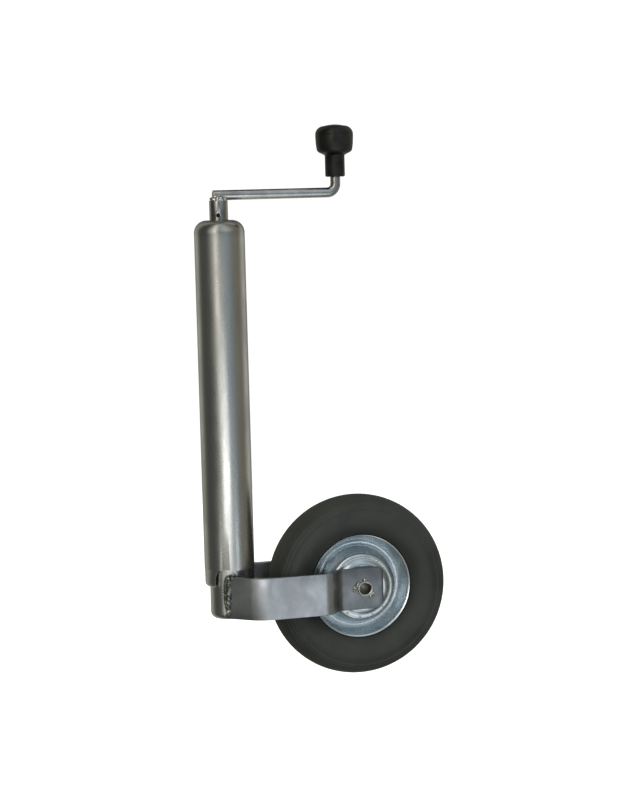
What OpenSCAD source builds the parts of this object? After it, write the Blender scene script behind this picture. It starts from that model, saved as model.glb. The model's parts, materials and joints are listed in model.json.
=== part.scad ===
// Clamp-on trailer tongue jack with a jockey wheel, fully wound up.
// The frame is on the outer tube's axis, at the middle of the plain wall that a clamp grips.
// +Z points up the tube, +X points towards the wheel, and the wheel's axle lies along Y.

/* [Tubes] */
// Outside diameter of the outer tube
tube_d = 60; // [59:0.5:61]
// Wall of the outer tube
tube_wall = 3; // [2.5:0.1:3]
// Length of the outer tube, from its lower lip to its domed top
tube_len = 436; // [430:1:460]
// Height of the domed top above the origin
tube_top = 215; // [210:1:220]
// Outside radius of the spun shoulder
shoulder_r = 15; // [12:0.5:16]
// Outside radius of the rolled lower lip
lip_r = 4.2; // [3.5:0.1:5]
// Outside diameter of the inner tube
leg_d = 48; // [47.5:0.1:48]
// Wall of the inner tube
leg_wall = 3; // [2.5:0.1:3]
// Height of the inner tube's upper end above the origin, wound up
leg_top = 176; // [170:1:180]
// Radius of the inner tube's closed lower end
leg_corner_r = 7; // [4:0.5:8]

/* [Screw] */
// Travel of the inner tube
stroke = 220; // [180:5:240]
// Outside diameter of the screw's thread
screw_d = 18; // [16:1:18]
// Diameter of the screw's plain top end
journal_d = 14; // [12:1:14]
// Outside diameter of the sleeve on the screw's top end
sleeve_d = 22; // [20:0.5:22]
// Height of the roll pin above the domed top
pin_up = 5.7; // [5:0.1:8]
// Diameter of the roll pin
pin_d = 5; // [4:0.1:5]

/* [Crank] */
// Diameter of the crank's rod
rod_d = 12; // [10:0.5:12]
// Height of the rod's centreline above the domed top
rod_up = 29; // [29:0.5:34]
// Distance from the tube's axis to the knob's axis
crank_reach = 144; // [130:1:160]
// Bend radius of the rod, at its centreline
rod_bend_r = 10.5; // [9:0.5:14]
// Overall height of the knob
knob_h = 62; // [58:1:66]
// Largest diameter of the knob's head
knob_d = 45.4; // [42:0.2:48]
// Diameter of the knob's neck
knob_neck_d = 23.6; // [22:0.2:26]

/* [Fork] */
// Height of the flat bar
bar_h = 50; // [46:1:52]
// Thickness of the flat bar
bar_t = 6; // [5:0.5:6]
// Angle at which each arm leaves the inner tube
flare = 40; // [36:1:42]
// Bend radius at the end of the flare, at the bar's centreline
flare_r = 35; // [30:1:38]
// Distance from the mid plane to an arm's outer face beside the tyre
arm_out = 57; // [55:0.5:60]
// Distance from the mid plane to an arm's outer face beside the hub
eye_out = 38; // [38:0.1:38.5]
// Angle of the step between those two faces
step_angle = 50; // [40:1:55]
// Bend radius of the step, at the bar's centreline
step_r = 14; // [12:1:16]
// Distance from the tube's axis to the wheel's axle
wheel_x = 158; // [156:1:162]
// Distance from the axle to the arms' ends
eye_end = 23; // [22:1:26]

/* [Wheel] */
// Diameter of the tyre
tyre_d = 220; // [215:1:222]
// Width of the tyre
tyre_w = 65; // [62:1:66]
// Outside diameter of the rim's lip
rim_d = 129; // [127:1:131]
// Thickness of the pressed rim discs
rim_t = 2; // [1.5:0.1:2.2]
// Outside diameter of the axle tube
axle_d = 17; // [16:0.5:18]
// Bore of the axle tube
axle_bore = 13.2; // [12:0.2:13.6]

/* [Hidden] */
$fn = 96;

// Clearances: a running fit, and an open gap between parts that only pass each other.
run_gap = 0.07;
open_gap = 0.3;
// Cutting tools reach this far past the faces that they cut.
past = 5;

tube_r = tube_d / 2;
tube_bore_r = tube_r - tube_wall;
tube_bottom = tube_top - tube_len;
leg_r = leg_d / 2;
leg_bore_r = leg_r - leg_wall;
axle_z = tube_bottom - 11;
leg_bottom = axle_z - bar_h / 2 - 3.2;
sleeve_r = sleeve_d / 2;
journal_r = journal_d / 2;
screw_r = screw_d / 2;
rod_r = rod_d / 2;
rod_z = tube_top + rod_up;
rod_start = 6.5;

// The two notches in the outer tube's lower end take the fork's welded corners.
notch_angle = 111.5;
notch_half_w = 13.4;
notch_top = tube_bottom + 23;

// Rolling the lower lip sizes the tube's end a little smaller, beside the notches.
end_r = tube_r - 0.4;
end_top = tube_bottom + 21;

// The bearing stack hangs under the domed top.
plate_t = 4;
race_t = 3;
ball_r = 2.4;
ball_gap = 2 * (ball_r + open_gap);
ball_ring_r = 12.5;
ball_count = 12;
race_in_r = journal_r + 1;
race_out_r = 17;
plate_z = tube_top - tube_wall - plate_t;
upper_race_z = plate_z - race_t;
lower_race_z = upper_race_z - ball_gap - race_t;
collar_h = 6;
collar_r = 15;
collar_z = lower_race_z - collar_h;
sleeve_z = plate_z + plate_t + open_gap;
pin_z = tube_top + pin_up;
pin_turn = -15;

// The nut fills the inner tube's upper end, and the screw ends just past its lowest place.
nut_h = 25;
nut_z = leg_top - nut_h;
stop_t = 3;
stop_r = 14;
stop_z = nut_z - stroke - 1.5 - stop_t;
screw_z = stop_z - 9;

// The knob turns on the rod's upright end, held by a spring clip in a hollow of its head.
knob_z = rod_z + 18.5;
knob_top = knob_z + knob_h;
knob_neck_h = 25;
clip_z = knob_z + 34;
clip_t = 1.5;
clip_r = 8;
rod_top = clip_z + 7;

// The wheel's rim discs meet on the mid plane.
tyre_r = tyre_d / 2;
rim_r = rim_d / 2;
rim_lip_h = 18.5;
boss_h = 28.4;
axle_r = axle_d / 2;
hub_in_r = 12.5;
hub_out_r = 15;
axle_roll_r = 1.1;
axle_out = eye_out + 2 * axle_roll_r + 0.02;
bush_face = boss_h + rim_t / 2 + 1.5;

// Spacing round a ring.
module ring_of(count, r) {
  for (i = [0 : count - 1]) rotate([0, 0, i * 360 / count]) translate([r, 0, 0]) children();
}

// A washer or plain tube that stands on z.
module washer(r_out, r_in, h, z) {
  translate([0, 0, z]) difference() {
    cylinder(r = r_out, h = h);
    translate([0, 0, -past]) cylinder(r = r_in, h = h + 2 * past);
  }
}

// A quarter of a bent wall, as a flat profile: centre, outer radius, wall and first angle.
module bent_wall(x, y, r, wall, from) {
  translate([x, y]) rotate(from) difference() {
    intersection() {
      circle(r = r);
      square(r + past);
    }
    circle(r = r - wall);
  }
}

// Moves a solid turned about Z onto the wheel's axle.
module on_axle() {
  translate([wheel_x, 0, axle_z]) rotate([90, 0, 0]) children();
}

// ---- Outer tube and its bearing ----

module outer_tube_profile() {
  opening_r = sleeve_r + 0.5;
  lip_in_r = leg_r + 0.6;
  end_wall = end_r - tube_bore_r;
  translate([tube_bore_r, end_top]) square([tube_wall, tube_top - shoulder_r - end_top]);
  translate([tube_bore_r, tube_bottom + lip_r]) square([end_wall, end_top - tube_bottom - lip_r]);
  bent_wall(tube_r - shoulder_r, tube_top - shoulder_r, shoulder_r, tube_wall, 0);
  bent_wall(end_r - lip_r, tube_bottom + lip_r, lip_r, end_wall, -90);
  translate([opening_r, tube_top - tube_wall]) square([tube_r - shoulder_r - opening_r, tube_wall]);
  translate([lip_in_r, tube_bottom]) square([end_r - lip_r - lip_in_r, end_wall]);
}

// An arched slot through one side of the wall.
module notch(angle) {
  rotate([0, 0, angle]) translate([leg_r - 4, 0, 0]) rotate([90, 0, 90]) linear_extrude(20) {
    translate([0, notch_top - notch_half_w]) circle(r = notch_half_w);
    translate([-notch_half_w, tube_bottom - past]) {
      square([2 * notch_half_w, notch_top - notch_half_w - tube_bottom + past]);
    }
  }
}

module outer_tube() {
  color("silver") difference() {
    rotate_extrude() outer_tube_profile();
    for (side = [-1, 1]) notch(side * notch_angle);
  }
}

module bearing_plate() {
  color("dimgray") washer(tube_r - shoulder_r, journal_r + run_gap, plate_t, plate_z);
}

module upper_race() {
  color("lightsteelblue") washer(race_out_r, race_in_r, race_t, upper_race_z);
}

module lower_race() {
  color("lightsteelblue") washer(race_out_r, journal_r, race_t, lower_race_z);
}

module ball_cage() {
  cage_t = 1.6;
  cage_z = upper_race_z - ball_gap / 2 - cage_t / 2;
  color("goldenrod") difference() {
    washer(race_out_r - 1, race_in_r + 1, cage_t, cage_z);
    ring_of(ball_count, ball_ring_r) {
      translate([0, 0, cage_z - past]) cylinder(r = ball_r + 0.1, h = cage_t + 2 * past, $fn = 32);
    }
  }
}

module thrust_balls() {
  color("white") ring_of(ball_count, ball_ring_r) {
    translate([0, 0, upper_race_z - ball_gap / 2]) sphere(r = ball_r, $fn = 32);
  }
}

module lower_guide_ring() {
  color("ivory") washer(tube_bore_r, leg_r + run_gap, 15, notch_top + 2);
}

// ---- Screw and crank ----

// Cross hole through the sleeve and the screw, or the pin in it.
module cross_pin(r, length) {
  translate([0, 0, pin_z]) rotate([90, 0, pin_turn]) cylinder(r = r, h = length, center = true, $fn = 48);
}

module spindle() {
  color("gray") difference() {
    union() {
      translate([0, 0, screw_z]) cylinder(r = screw_r, h = collar_z - screw_z);
      translate([0, 0, collar_z]) cylinder(r = collar_r, h = collar_h);
      translate([0, 0, collar_z]) cylinder(r = journal_r, h = rod_z - rod_r - 3 - collar_z);
    }
    cross_pin(pin_d / 2, 2 * sleeve_d);
    stop_hole();
  }
}

module stop_hole() {
  translate([0, 0, stop_z - 3]) rotate([90, 0, 0]) cylinder(r = 2, h = 4 * screw_r, center = true, $fn = 48);
}

module stop_washer() {
  color("silver") washer(stop_r, screw_r, stop_t, stop_z);
}

module stop_pin() {
  translate([0, 0, stop_z - 3]) rotate([90, 0, 0]) {
    color("silver") cylinder(r = 2, h = 2 * screw_r + 8, center = true, $fn = 48);
  }
}

module crank_sleeve() {
  color("silver") difference() {
    washer(sleeve_r, journal_r, rod_z - rod_r - sleeve_z, sleeve_z);
    cross_pin(pin_d / 2, 2 * sleeve_d);
  }
}

module roll_pin() {
  color("dimgray") difference() {
    cross_pin(pin_d / 2, sleeve_d - 5);
    cross_pin(pin_d / 2 - 0.9, 2 * sleeve_d);
  }
}

// The rod: level arm, bend and upright end.
module crank_arm() {
  color("silver") {
    translate([-rod_start, 0, rod_z]) rotate([0, 90, 0]) {
      cylinder(r = rod_r, h = crank_reach - rod_bend_r + rod_start);
    }
    translate([crank_reach - rod_bend_r, 0, rod_z + rod_bend_r]) rotate([90, 0, 0]) {
      rotate([0, 0, -90]) rotate_extrude(angle = 90) translate([rod_bend_r, 0]) circle(r = rod_r);
    }
    translate([crank_reach, 0, rod_z + rod_bend_r]) {
      cylinder(r = rod_r, h = rod_top - rod_z - rod_bend_r);
    }
  }
}

module crank_weld() {
  color("darkgray") difference() {
    translate([0, 0, rod_z - rod_r]) cylinder(r1 = sleeve_r, r2 = sleeve_r - 3, h = 4.5);
    translate([-tube_d, 0, rod_z]) rotate([0, 90, 0]) cylinder(r = rod_r, h = 2 * tube_d);
  }
}

module knob_clip() {
  translate([crank_reach, 0, 0]) color("silver") washer(clip_r, rod_r, clip_t, clip_z);
}

// Domed head, tapered underside and plain neck, as half of the knob's section.
module knob_profile() {
  head_r = knob_d / 2;
  neck_r = knob_neck_d / 2;
  edge_r = 10.5;
  foot_r = 2;
  crown = 1.6;
  dome_r = (pow(head_r - edge_r, 2) + crown * crown) / (2 * crown);
  edge_z = knob_top - crown - edge_r;
  translate([0, knob_z + foot_r]) square([neck_r, knob_neck_h]);
  translate([0, knob_z]) square([neck_r - foot_r, foot_r + 1]);
  translate([neck_r - foot_r, knob_z + foot_r]) circle(r = foot_r, $fn = 48);
  polygon([
    [0, knob_z + knob_neck_h], [neck_r, knob_z + knob_neck_h], [head_r - 7, knob_z + 27.5],
    [head_r - 1.4, knob_z + 34], [head_r, edge_z], [0, edge_z]
  ]);
  translate([head_r - edge_r, edge_z]) circle(r = edge_r);
  translate([0, edge_z]) square([head_r - edge_r, edge_r]);
  intersection() {
    translate([0, knob_top - dome_r]) circle(r = dome_r);
    translate([0, knob_top - crown - 1]) square([head_r - edge_r, crown + 2]);
  }
}

module knob() {
  color([0.1, 0.1, 0.09]) translate([crank_reach, 0, 0]) difference() {
    rotate_extrude() intersection() {
      knob_profile();
      translate([0, knob_z - past]) square([knob_d, knob_h + 2 * past]);
    }
    translate([0, 0, knob_z - past]) cylinder(r = rod_r + run_gap, h = clip_z - knob_z + past);
    translate([0, 0, clip_z - open_gap]) cylinder(r = clip_r + 0.5, h = rod_top - clip_z + 2);
  }
}

// ---- Inner tube ----

module inner_tube() {
  plug_r = leg_r - leg_corner_r - 4;
  color("lightgray") difference() {
    rotate_extrude() {
      translate([leg_bore_r, leg_bottom + leg_corner_r]) {
        square([leg_wall, leg_top - leg_bottom - leg_corner_r]);
      }
      bent_wall(leg_r - leg_corner_r, leg_bottom + leg_corner_r, leg_corner_r, leg_wall, -90);
      translate([plug_r, leg_bottom]) square([leg_r - leg_corner_r - plug_r, leg_wall]);
    }
    nut_pin_set(0);
  }
}

module end_plug() {
  color("lightgray") translate([0, 0, leg_bottom]) cylinder(r = leg_r - leg_corner_r - 4, h = leg_wall);
}

// Pins that hold the nut: they end flush with the inner tube.
module nut_pin_set(short) {
  for (angle = [60, 180, 300]) rotate([0, 0, angle]) translate([14, 0, nut_z + 6]) {
    rotate([0, 90, 0]) cylinder(r = 3, h = leg_r - 14 + past - short, $fn = 48);
  }
}

module nut_pins() {
  color("gray") nut_pin_set(past + 0.2);
}

module spindle_nut() {
  color("peru") difference() {
    washer(leg_bore_r, screw_r + run_gap, nut_h, nut_z);
    nut_pin_set(0);
  }
}

module upper_guide_ring() {
  color("ivory") washer(tube_bore_r - run_gap, leg_r, 12, leg_top - 12);
}

// ---- Fork ----

// Bends a flat bar along steps of [straight length, turn, bend radius].
// It gives the stations along the bar's centreline, each as [x, y, heading].
function bar_stations(steps, at, i = 0) =
  let (
    after = ahead(at, steps[i][0]),
    turn = steps[i][1],
    r = steps[i][2]
  )
  i == len(steps) - 1 ? [at, after] :
  concat(
    [at],
    [for (k = [0 : bend_parts - 1]) bend_at(after, turn * k / bend_parts, r, sign(turn))],
    bar_stations(steps, bend_at(after, turn, r, sign(turn)), i + 1)
  );

// The station a straight length further on.
function ahead(at, run) = [at[0] + run * cos(at[2]), at[1] + run * sin(at[2]), at[2]];

// The station reached after turning by part of a bend, to the left where side is 1.
function bend_at(at, part, r, side) =
  [
    at[0] + side * r * (sin(at[2] + part) - sin(at[2])),
    at[1] - side * r * (cos(at[2] + part) - cos(at[2])),
    at[2] + part
  ];

// A point beside a station, off to its left.
function beside(at, off) = [at[0] - off * sin(at[2]), at[1] + off * cos(at[2])];

// The bar's outline seen from above: up one face and back down the other.
module bent_bar(stations) {
  count = len(stations);
  polygon(concat(
    [for (at = stations) beside(at, bar_t / 2)],
    [for (k = [count - 1 : -1 : 0]) beside(stations[k], -bar_t / 2)]
  ));
}

bend_parts = 12;
start_s = 8;
start_off = sqrt(pow(leg_r + 0.05, 2) - start_s * start_s) + bar_t / 2;
start_x = start_s * cos(flare) - start_off * sin(flare);
start_y = start_s * sin(flare) + start_off * cos(flare);
arm_y = arm_out - bar_t / 2;
flare_run = (arm_y - flare_r * (1 - cos(flare)) - start_y) / sin(flare);
side_x = start_x + flare_run * cos(flare) + flare_r * sin(flare);
step_run = (arm_out - eye_out - 2 * step_r * (1 - cos(step_angle))) / sin(step_angle);
step_len = 2 * step_r * sin(step_angle) + step_run * cos(step_angle);
eye_x = wheel_x - 27;
side_run = eye_x - step_len - side_x;
arm_steps = [
  [flare_run, -flare, flare_r], [side_run, -step_angle, step_r], [step_run, step_angle, step_r],
  [wheel_x + eye_end - eye_x, 0, 0]
];

// Points along an arc, for rounding an outline's corner.
function arc_points(centre, r, from, to, parts) =
  [for (k = [0 : parts]) let (a = from + (to - from) * k / parts) centre + r * [cos(a), sin(a)]];

// The arm seen from the side: its free end has rounded corners.
module arm_side() {
  top_r = 5;
  low_r = 11;
  end_x = wheel_x + eye_end;
  top_z = axle_z + bar_h / 2;
  low_z = axle_z - bar_h / 2;
  polygon(concat(
    [[-tube_d, top_z], [-tube_d, low_z]],
    arc_points([end_x - low_r, low_z + low_r], low_r, -90, 0, 8),
    arc_points([end_x - top_r, top_z - top_r], top_r, 0, 90, 6)
  ));
}

// The arm on the +Y side; the other arm is its mirror image.
module fork_arm() {
  difference() {
    intersection() {
      translate([0, 0, axle_z - bar_h]) linear_extrude(2 * bar_h) {
        bent_bar(bar_stations(arm_steps, [start_x, start_y, flare]));
      }
      rotate([90, 0, 0]) translate([0, 0, -2 * arm_out]) linear_extrude(4 * arm_out) arm_side();
    }
    on_axle() cylinder(r = axle_r + 0.05, h = 4 * arm_out, center = true);
  }
}

module fork_arm_left() {
  color("slategray") fork_arm();
}

module fork_arm_right() {
  color("slategray") mirror([0, 1, 0]) fork_arm();
}

// Upright beads, one on each side of the bar's welded end.
module fork_weld() {
  bead_h = bar_h - 4;
  difference() {
    translate([0, 0, axle_z - bead_h / 2]) {
      rotate([0, 0, flare]) {
        translate([start_s - 0.5, start_off - bar_t / 2, 0]) cylinder(r = 4, h = bead_h, $fn = 48);
        translate([start_s + 4, start_off - bar_t / 2, 0]) cylinder(r = 3, h = bead_h, $fn = 48);
      }
    }
    translate([0, 0, leg_bottom - past]) cylinder(r = leg_r, h = bar_h + 2 * past);
    translate([0, 0, axle_z - bar_h]) linear_extrude(2 * bar_h) {
      translate([start_x, start_y]) rotate(flare) translate([0, -bar_t / 2]) square([40, bar_t]);
    }
  }
}

module fork_weld_left() {
  color("dimgray") fork_weld();
}

module fork_weld_right() {
  color("dimgray") mirror([0, 1, 0]) fork_weld();
}

// ---- Axle ----

module axle_tube() {
  color("silver") on_axle() difference() {
    union() {
      cylinder(r = axle_r, h = 2 * axle_out - 2 * axle_roll_r, center = true);
      for (side = [-1, 1]) translate([0, 0, side * (axle_out - axle_roll_r)]) {
        rotate_extrude() translate([axle_r, 0]) circle(r = axle_roll_r, $fn = 32);
        cylinder(r = axle_r, h = 2 * axle_roll_r, center = true);
      }
    }
    cylinder(r = axle_bore / 2, h = 4 * axle_out, center = true);
  }
}

// Tack welds between the axle's ends and the arms' outer faces.
module axle_welds() {
  color("dimgray") for (side = [-1, 1]) for (spot = [[150, 3.2], [195, 2.6], [300, 2.2]]) {
    difference() {
      translate([wheel_x, side * eye_out, axle_z]) rotate([0, -spot[0], 0]) {
        translate([axle_r + 2.6, 0, 0]) sphere(r = spot[1], $fn = 32);
      }
      translate([wheel_x, side * (eye_out - 25), axle_z]) cube(50, center = true);
      on_axle() cylinder(r = axle_r + 1.2, h = 4 * axle_out, center = true);
    }
  }
}

module axle_washers() {
  washer_t = eye_out - bar_t - bush_face - open_gap;
  color("silver") on_axle() for (side = [-1, 1]) {
    translate([0, 0, side * (eye_out - bar_t - washer_t / 2)]) {
      washer(14, axle_r + 0.05, washer_t, -washer_t / 2);
    }
  }
}

// ---- Wheel ----

// The tyre's section: round sides that run into the crown's arc, on a root that fills the rim's channel.
module tyre_profile() {
  side_r = 26;
  side_at = [tyre_r - 24.5, tyre_w / 2 - side_r];
  crown_r = 52;
  crown_at = [tyre_r - crown_r, 0];
  apart = side_at - crown_at;
  // The angles at which the side's arc starts, beside the rim's lip, and the two arcs meet.
  side_from = acos((rim_r - 0.6 - side_at[0]) / side_r);
  crown_cos = (pow(crown_r, 2) + apart * apart - pow(side_r, 2)) / (2 * crown_r * norm(apart));
  crown_end = atan2(apart[1], apart[0]) + acos(crown_cos);
  meet = crown_at + crown_r * [cos(crown_end), sin(crown_end)] - side_at;
  side_to = atan2(meet[1], meet[0]);
  crown_parts = 12;
  crown_from = crown_end * (1 - 2 / crown_parts);
  root = [[rim_r - 9.1, 1.5], [rim_r - 2, rim_lip_h - 1.7], [rim_r - 0.6, rim_lip_h - 1.5]];
  upper = concat(root, arc_points(side_at, side_r, side_from, side_to, 12));
  count = len(upper);
  polygon(concat(
    upper,
    arc_points(crown_at, crown_r, crown_from, -crown_from, crown_parts - 2),
    [for (k = [count - 1 : -1 : 0]) [upper[k][0], -upper[k][1]]]
  ));
}

module tyre() {
  color([0.16, 0.17, 0.16]) on_axle() rotate_extrude($fn = 180) tyre_profile();
}

// The point beside bend i of a line of points, half a sheet's thickness off on one side.
function mitre(points, i, off) =
  let (
    here = points[i],
    back = i == 0 ? points[1] - here : here - points[i - 1],
    on = i == len(points) - 1 ? back : points[i + 1] - here,
    n_back = [-back[1], back[0]] / norm(back),
    n_on = [-on[1], on[0]] / norm(on),
    n = n_back + n_on
  )
  here + off * 2 * n / (n * n);

// Sheet metal bent along a line of points.
module sheet_line(points, t) {
  count = len(points);
  polygon(concat(
    [for (i = [0 : count - 1]) mitre(points, i, t / 2)],
    [for (i = [count - 1 : -1 : 0]) mitre(points, i, -t / 2)]
  ));
}

// One pressed disc, on the +Y side once it is turned: lip, channel wall, floor, cone and boss.
module rim_disc() {
  floor_h = rim_t / 2 + 0.02;
  rotate([0, 180, 0]) difference() {
    rotate_extrude() sheet_line([
      [rim_r - 1.6, rim_lip_h], [rim_r - 3.2, rim_lip_h - 0.6], [rim_r - 9, 5], [rim_r - 11.5, floor_h],
      [rim_r - 16, floor_h], [rim_r - 23, 19], [rim_r - 26, 24.5], [rim_r - 31, boss_h],
      [hub_out_r - 1, boss_h]
    ], rim_t);
    cylinder(r = hub_in_r + 0.6, h = 2 * tyre_w, center = true);
  }
}

module rim_disc_left() {
  color("lightsteelblue") on_axle() rim_disc();
}

module rim_disc_right() {
  color("lightsteelblue") on_axle() mirror([0, 0, 1]) rim_disc();
}

module hub_tube() {
  hub_len = 2 * boss_h - rim_t;
  color("gray") on_axle() washer(hub_out_r, hub_in_r, hub_len, -hub_len / 2);
}

// A flanged bush, with its flange outside the rim's boss.
module hub_bush() {
  washer(hub_in_r, axle_r + run_gap, bush_face - 8, 8);
  washer(hub_out_r + 2, hub_in_r - 0.5, 1.5, bush_face - 1.5);
}

module hub_bush_left() {
  color("ivory") on_axle() rotate([0, 180, 0]) hub_bush();
}

module hub_bush_right() {
  color("ivory") on_axle() hub_bush();
}

// Fillet welds between the hub tube's ends and the backs of the bosses.
module hub_welds() {
  fillet = 2.4;
  face = boss_h - rim_t / 2;
  color("dimgray") on_axle() for (side = [0, 1]) mirror([0, 0, side]) rotate_extrude() {
    polygon([[hub_out_r, face], [hub_out_r + fillet, face], [hub_out_r, face - fillet]]);
  }
}

outer_tube();
bearing_plate();
upper_race();
ball_cage();
thrust_balls();
lower_guide_ring();
spindle();
lower_race();
crank_sleeve();
roll_pin();
crank_arm();
crank_weld();
knob_clip();
stop_washer();
stop_pin();
knob();
inner_tube();
end_plug();
spindle_nut();
nut_pins();
upper_guide_ring();
fork_arm_left();
fork_arm_right();
fork_weld_left();
fork_weld_right();
axle_tube();
axle_welds();
axle_washers();
tyre();
rim_disc_left();
rim_disc_right();
hub_tube();
hub_bush_left();
hub_bush_right();
hub_welds();
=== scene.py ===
# %% [markdown]
# # A clamp-on tongue jack with a jockey wheel
# The jack is a steel tube that a clamp holds on a trailer's drawbar. A crank on top turns a screw inside,
# and the screw pushes a thinner tube, with a fork and a wheel on it, out of the bottom.
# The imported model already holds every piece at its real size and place, so it is loaded first and never
# moved. What follows only gives those pieces finer shapes and real finishes.

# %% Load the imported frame
import json
import math

import bmesh
import bpy
from mathutils import Matrix, Vector


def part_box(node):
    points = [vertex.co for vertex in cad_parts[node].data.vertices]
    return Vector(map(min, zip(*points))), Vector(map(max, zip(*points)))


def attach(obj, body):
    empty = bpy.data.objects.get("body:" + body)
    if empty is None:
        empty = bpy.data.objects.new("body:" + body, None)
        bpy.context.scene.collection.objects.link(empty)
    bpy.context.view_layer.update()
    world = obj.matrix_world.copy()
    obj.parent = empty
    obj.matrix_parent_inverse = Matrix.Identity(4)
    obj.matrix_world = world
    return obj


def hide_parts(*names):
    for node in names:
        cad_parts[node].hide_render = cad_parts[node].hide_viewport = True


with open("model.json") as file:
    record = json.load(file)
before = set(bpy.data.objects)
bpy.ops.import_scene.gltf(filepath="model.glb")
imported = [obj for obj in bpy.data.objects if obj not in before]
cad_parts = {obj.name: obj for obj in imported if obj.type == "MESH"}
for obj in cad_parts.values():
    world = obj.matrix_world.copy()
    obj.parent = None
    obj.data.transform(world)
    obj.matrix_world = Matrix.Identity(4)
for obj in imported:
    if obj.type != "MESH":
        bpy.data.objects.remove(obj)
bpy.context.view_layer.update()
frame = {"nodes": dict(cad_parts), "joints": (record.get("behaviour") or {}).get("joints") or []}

mm = 0.001

# %% [markdown]
# ## Where things are
# A maker reads sizes off the parts on the bench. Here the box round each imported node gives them: the
# tube's radius, the axle's height, the knob's axis. Working them out once keeps every later piece
# in step with the frame, even if a size changes there.


# %% Read the main places from the frame
def middle(node):
    low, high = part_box(node)
    return (low + high) / 2


tube_low, tube_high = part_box("outer_tube")
leg_low, leg_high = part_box("inner_tube")
tyre_low, tyre_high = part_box("tyre")
sleeve_low, sleeve_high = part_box("crank_sleeve")
rod_low, rod_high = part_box("crank_arm")
knob_low, knob_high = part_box("knob")
arm_low, arm_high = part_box("fork_arm_right")
tube_r = tube_high.x
leg_r = leg_high.x
sleeve_r = sleeve_high.x
hub = middle("tyre")
tyre_r = (tyre_high.z - tyre_low.z) / 2
crank_reach = middle("knob").x
rod_r = rod_high.x - crank_reach
rod_z = rod_low.z + rod_r
print("axle at", [round(v, 3) for v in hub], "knob axis at x", round(crank_reach, 3))

# %% [markdown]
# ## Camera
# The jack is looked at from its wheel's right side, a little towards the crank's plain end and from a
# little above. A long lens keeps the tube's sides almost parallel. The camera is rolled by a degree
# and a half, so the tube leans a little, as it does when it hangs from a hand.

# %% Set the camera
look_at = Vector((0.1099, 0, -0.0043))
camera_azimuth = math.radians(-15.39)
camera_height = math.radians(5.90)
camera_roll = math.radians(1.51)
camera_distance = 2.4
back = Vector((
    math.sin(camera_azimuth) * math.cos(camera_height),
    -math.cos(camera_azimuth) * math.cos(camera_height),
    math.sin(camera_height),
))
camera = bpy.data.objects.new("camera", bpy.data.cameras.new("camera"))
bpy.context.scene.collection.objects.link(camera)
camera.data.lens = 89.6
camera.location = look_at + back * camera_distance
upright = (-back).to_track_quat("-Z", "Y").to_matrix()
camera.rotation_euler = (upright @ Matrix.Rotation(-camera_roll, 3, "Z")).to_euler()
bpy.context.scene.camera = camera
print("camera at", [round(v, 3) for v in camera.location])

# %% [markdown]
# ## Studio
# Bare metal shows what stands round it, so a plated tube is lit with cards more than with lamps. A tall
# cream card and a dim blue one stand in front, a brown and a cream one to the right, and two behind.
# They give the tube its bands, and the gaps between them stay dark. Short cards reach only some heights:
# they light the dome, the rod and the dished rims. The cards could be glowing planes, but as soft
# stripes in the world's shader they have no edges and cost no faces. The camera sees plain white.


# %% The world's nodes
world = bpy.data.worlds.new("studio")
bpy.context.scene.world = world
world.use_nodes = True
sky = world.node_tree
sky.nodes.clear()


def sky_node(kind, **settings):
    node = sky.nodes.new(kind)
    for name, value in settings.items():
        setattr(node, name, value)
    return node


def sky_math(operation, first, second=0.0):
    node = sky_node("ShaderNodeMath", operation=operation)
    for socket, value in zip(node.inputs, (first, second)):
        if isinstance(value, (int, float)):
            socket.default_value = value
        else:
            sky.links.new(value, socket)
    return node.outputs[0]


direction = sky_node("ShaderNodeTexCoord").outputs["Generated"]
split = sky_node("ShaderNodeSeparateXYZ")
sky.links.new(direction, split.inputs[0])
rise = split.outputs["Z"]
round_way = sky_math("ARCTAN2", split.outputs["X"], sky_math("MULTIPLY", split.outputs["Y"], -1.0))
lowest_lean, highest_lean = -0.26, 0.06
near_level = sky_math("MINIMUM", sky_math("MAXIMUM", rise, lowest_lean), highest_lean)
print("world has its compass")


# %% One soft card at a compass point
def card(azimuth, half_width, strength, colour, lean=0.0, between=None):
    """A soft stripe of light. Azimuth is in degrees from the -Y side towards +X.

    Lean tilts the stripe to one side as it goes up. Between gives the rise where the stripe starts and
    where it is full. Without it the stripe runs from the ground to the top.
    """
    leaned = sky_math("ADD", round_way, sky_math("MULTIPLY", near_level, lean))
    off = sky_math("SUBTRACT", leaned, math.radians(azimuth))
    turned = sky_math("ARCCOSINE", sky_math("COSINE", off))
    fade = sky_node("ShaderNodeMapRange", interpolation_type="SMOOTHERSTEP")
    sky.links.new(turned, fade.inputs["Value"])
    fade.inputs["From Min"].default_value = 0.0
    fade.inputs["From Max"].default_value = math.radians(half_width)
    fade.inputs["To Min"].default_value = strength
    fade.inputs["To Max"].default_value = 0.0
    tint = sky_node("ShaderNodeVectorMath", operation="SCALE")
    tint.inputs[0].default_value = colour
    glow = fade.outputs["Result"]
    if between:
        window = sky_node("ShaderNodeMapRange", interpolation_type="SMOOTHSTEP")
        sky.links.new(rise, window.inputs["Value"])
        window.inputs["From Min"].default_value = between[0]
        window.inputs["From Max"].default_value = between[1]
        glow = sky_math("MULTIPLY", glow, window.outputs["Result"])
    sky.links.new(glow, tint.inputs["Scale"])
    return tint.outputs["Vector"]


print("card helper ready")

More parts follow.
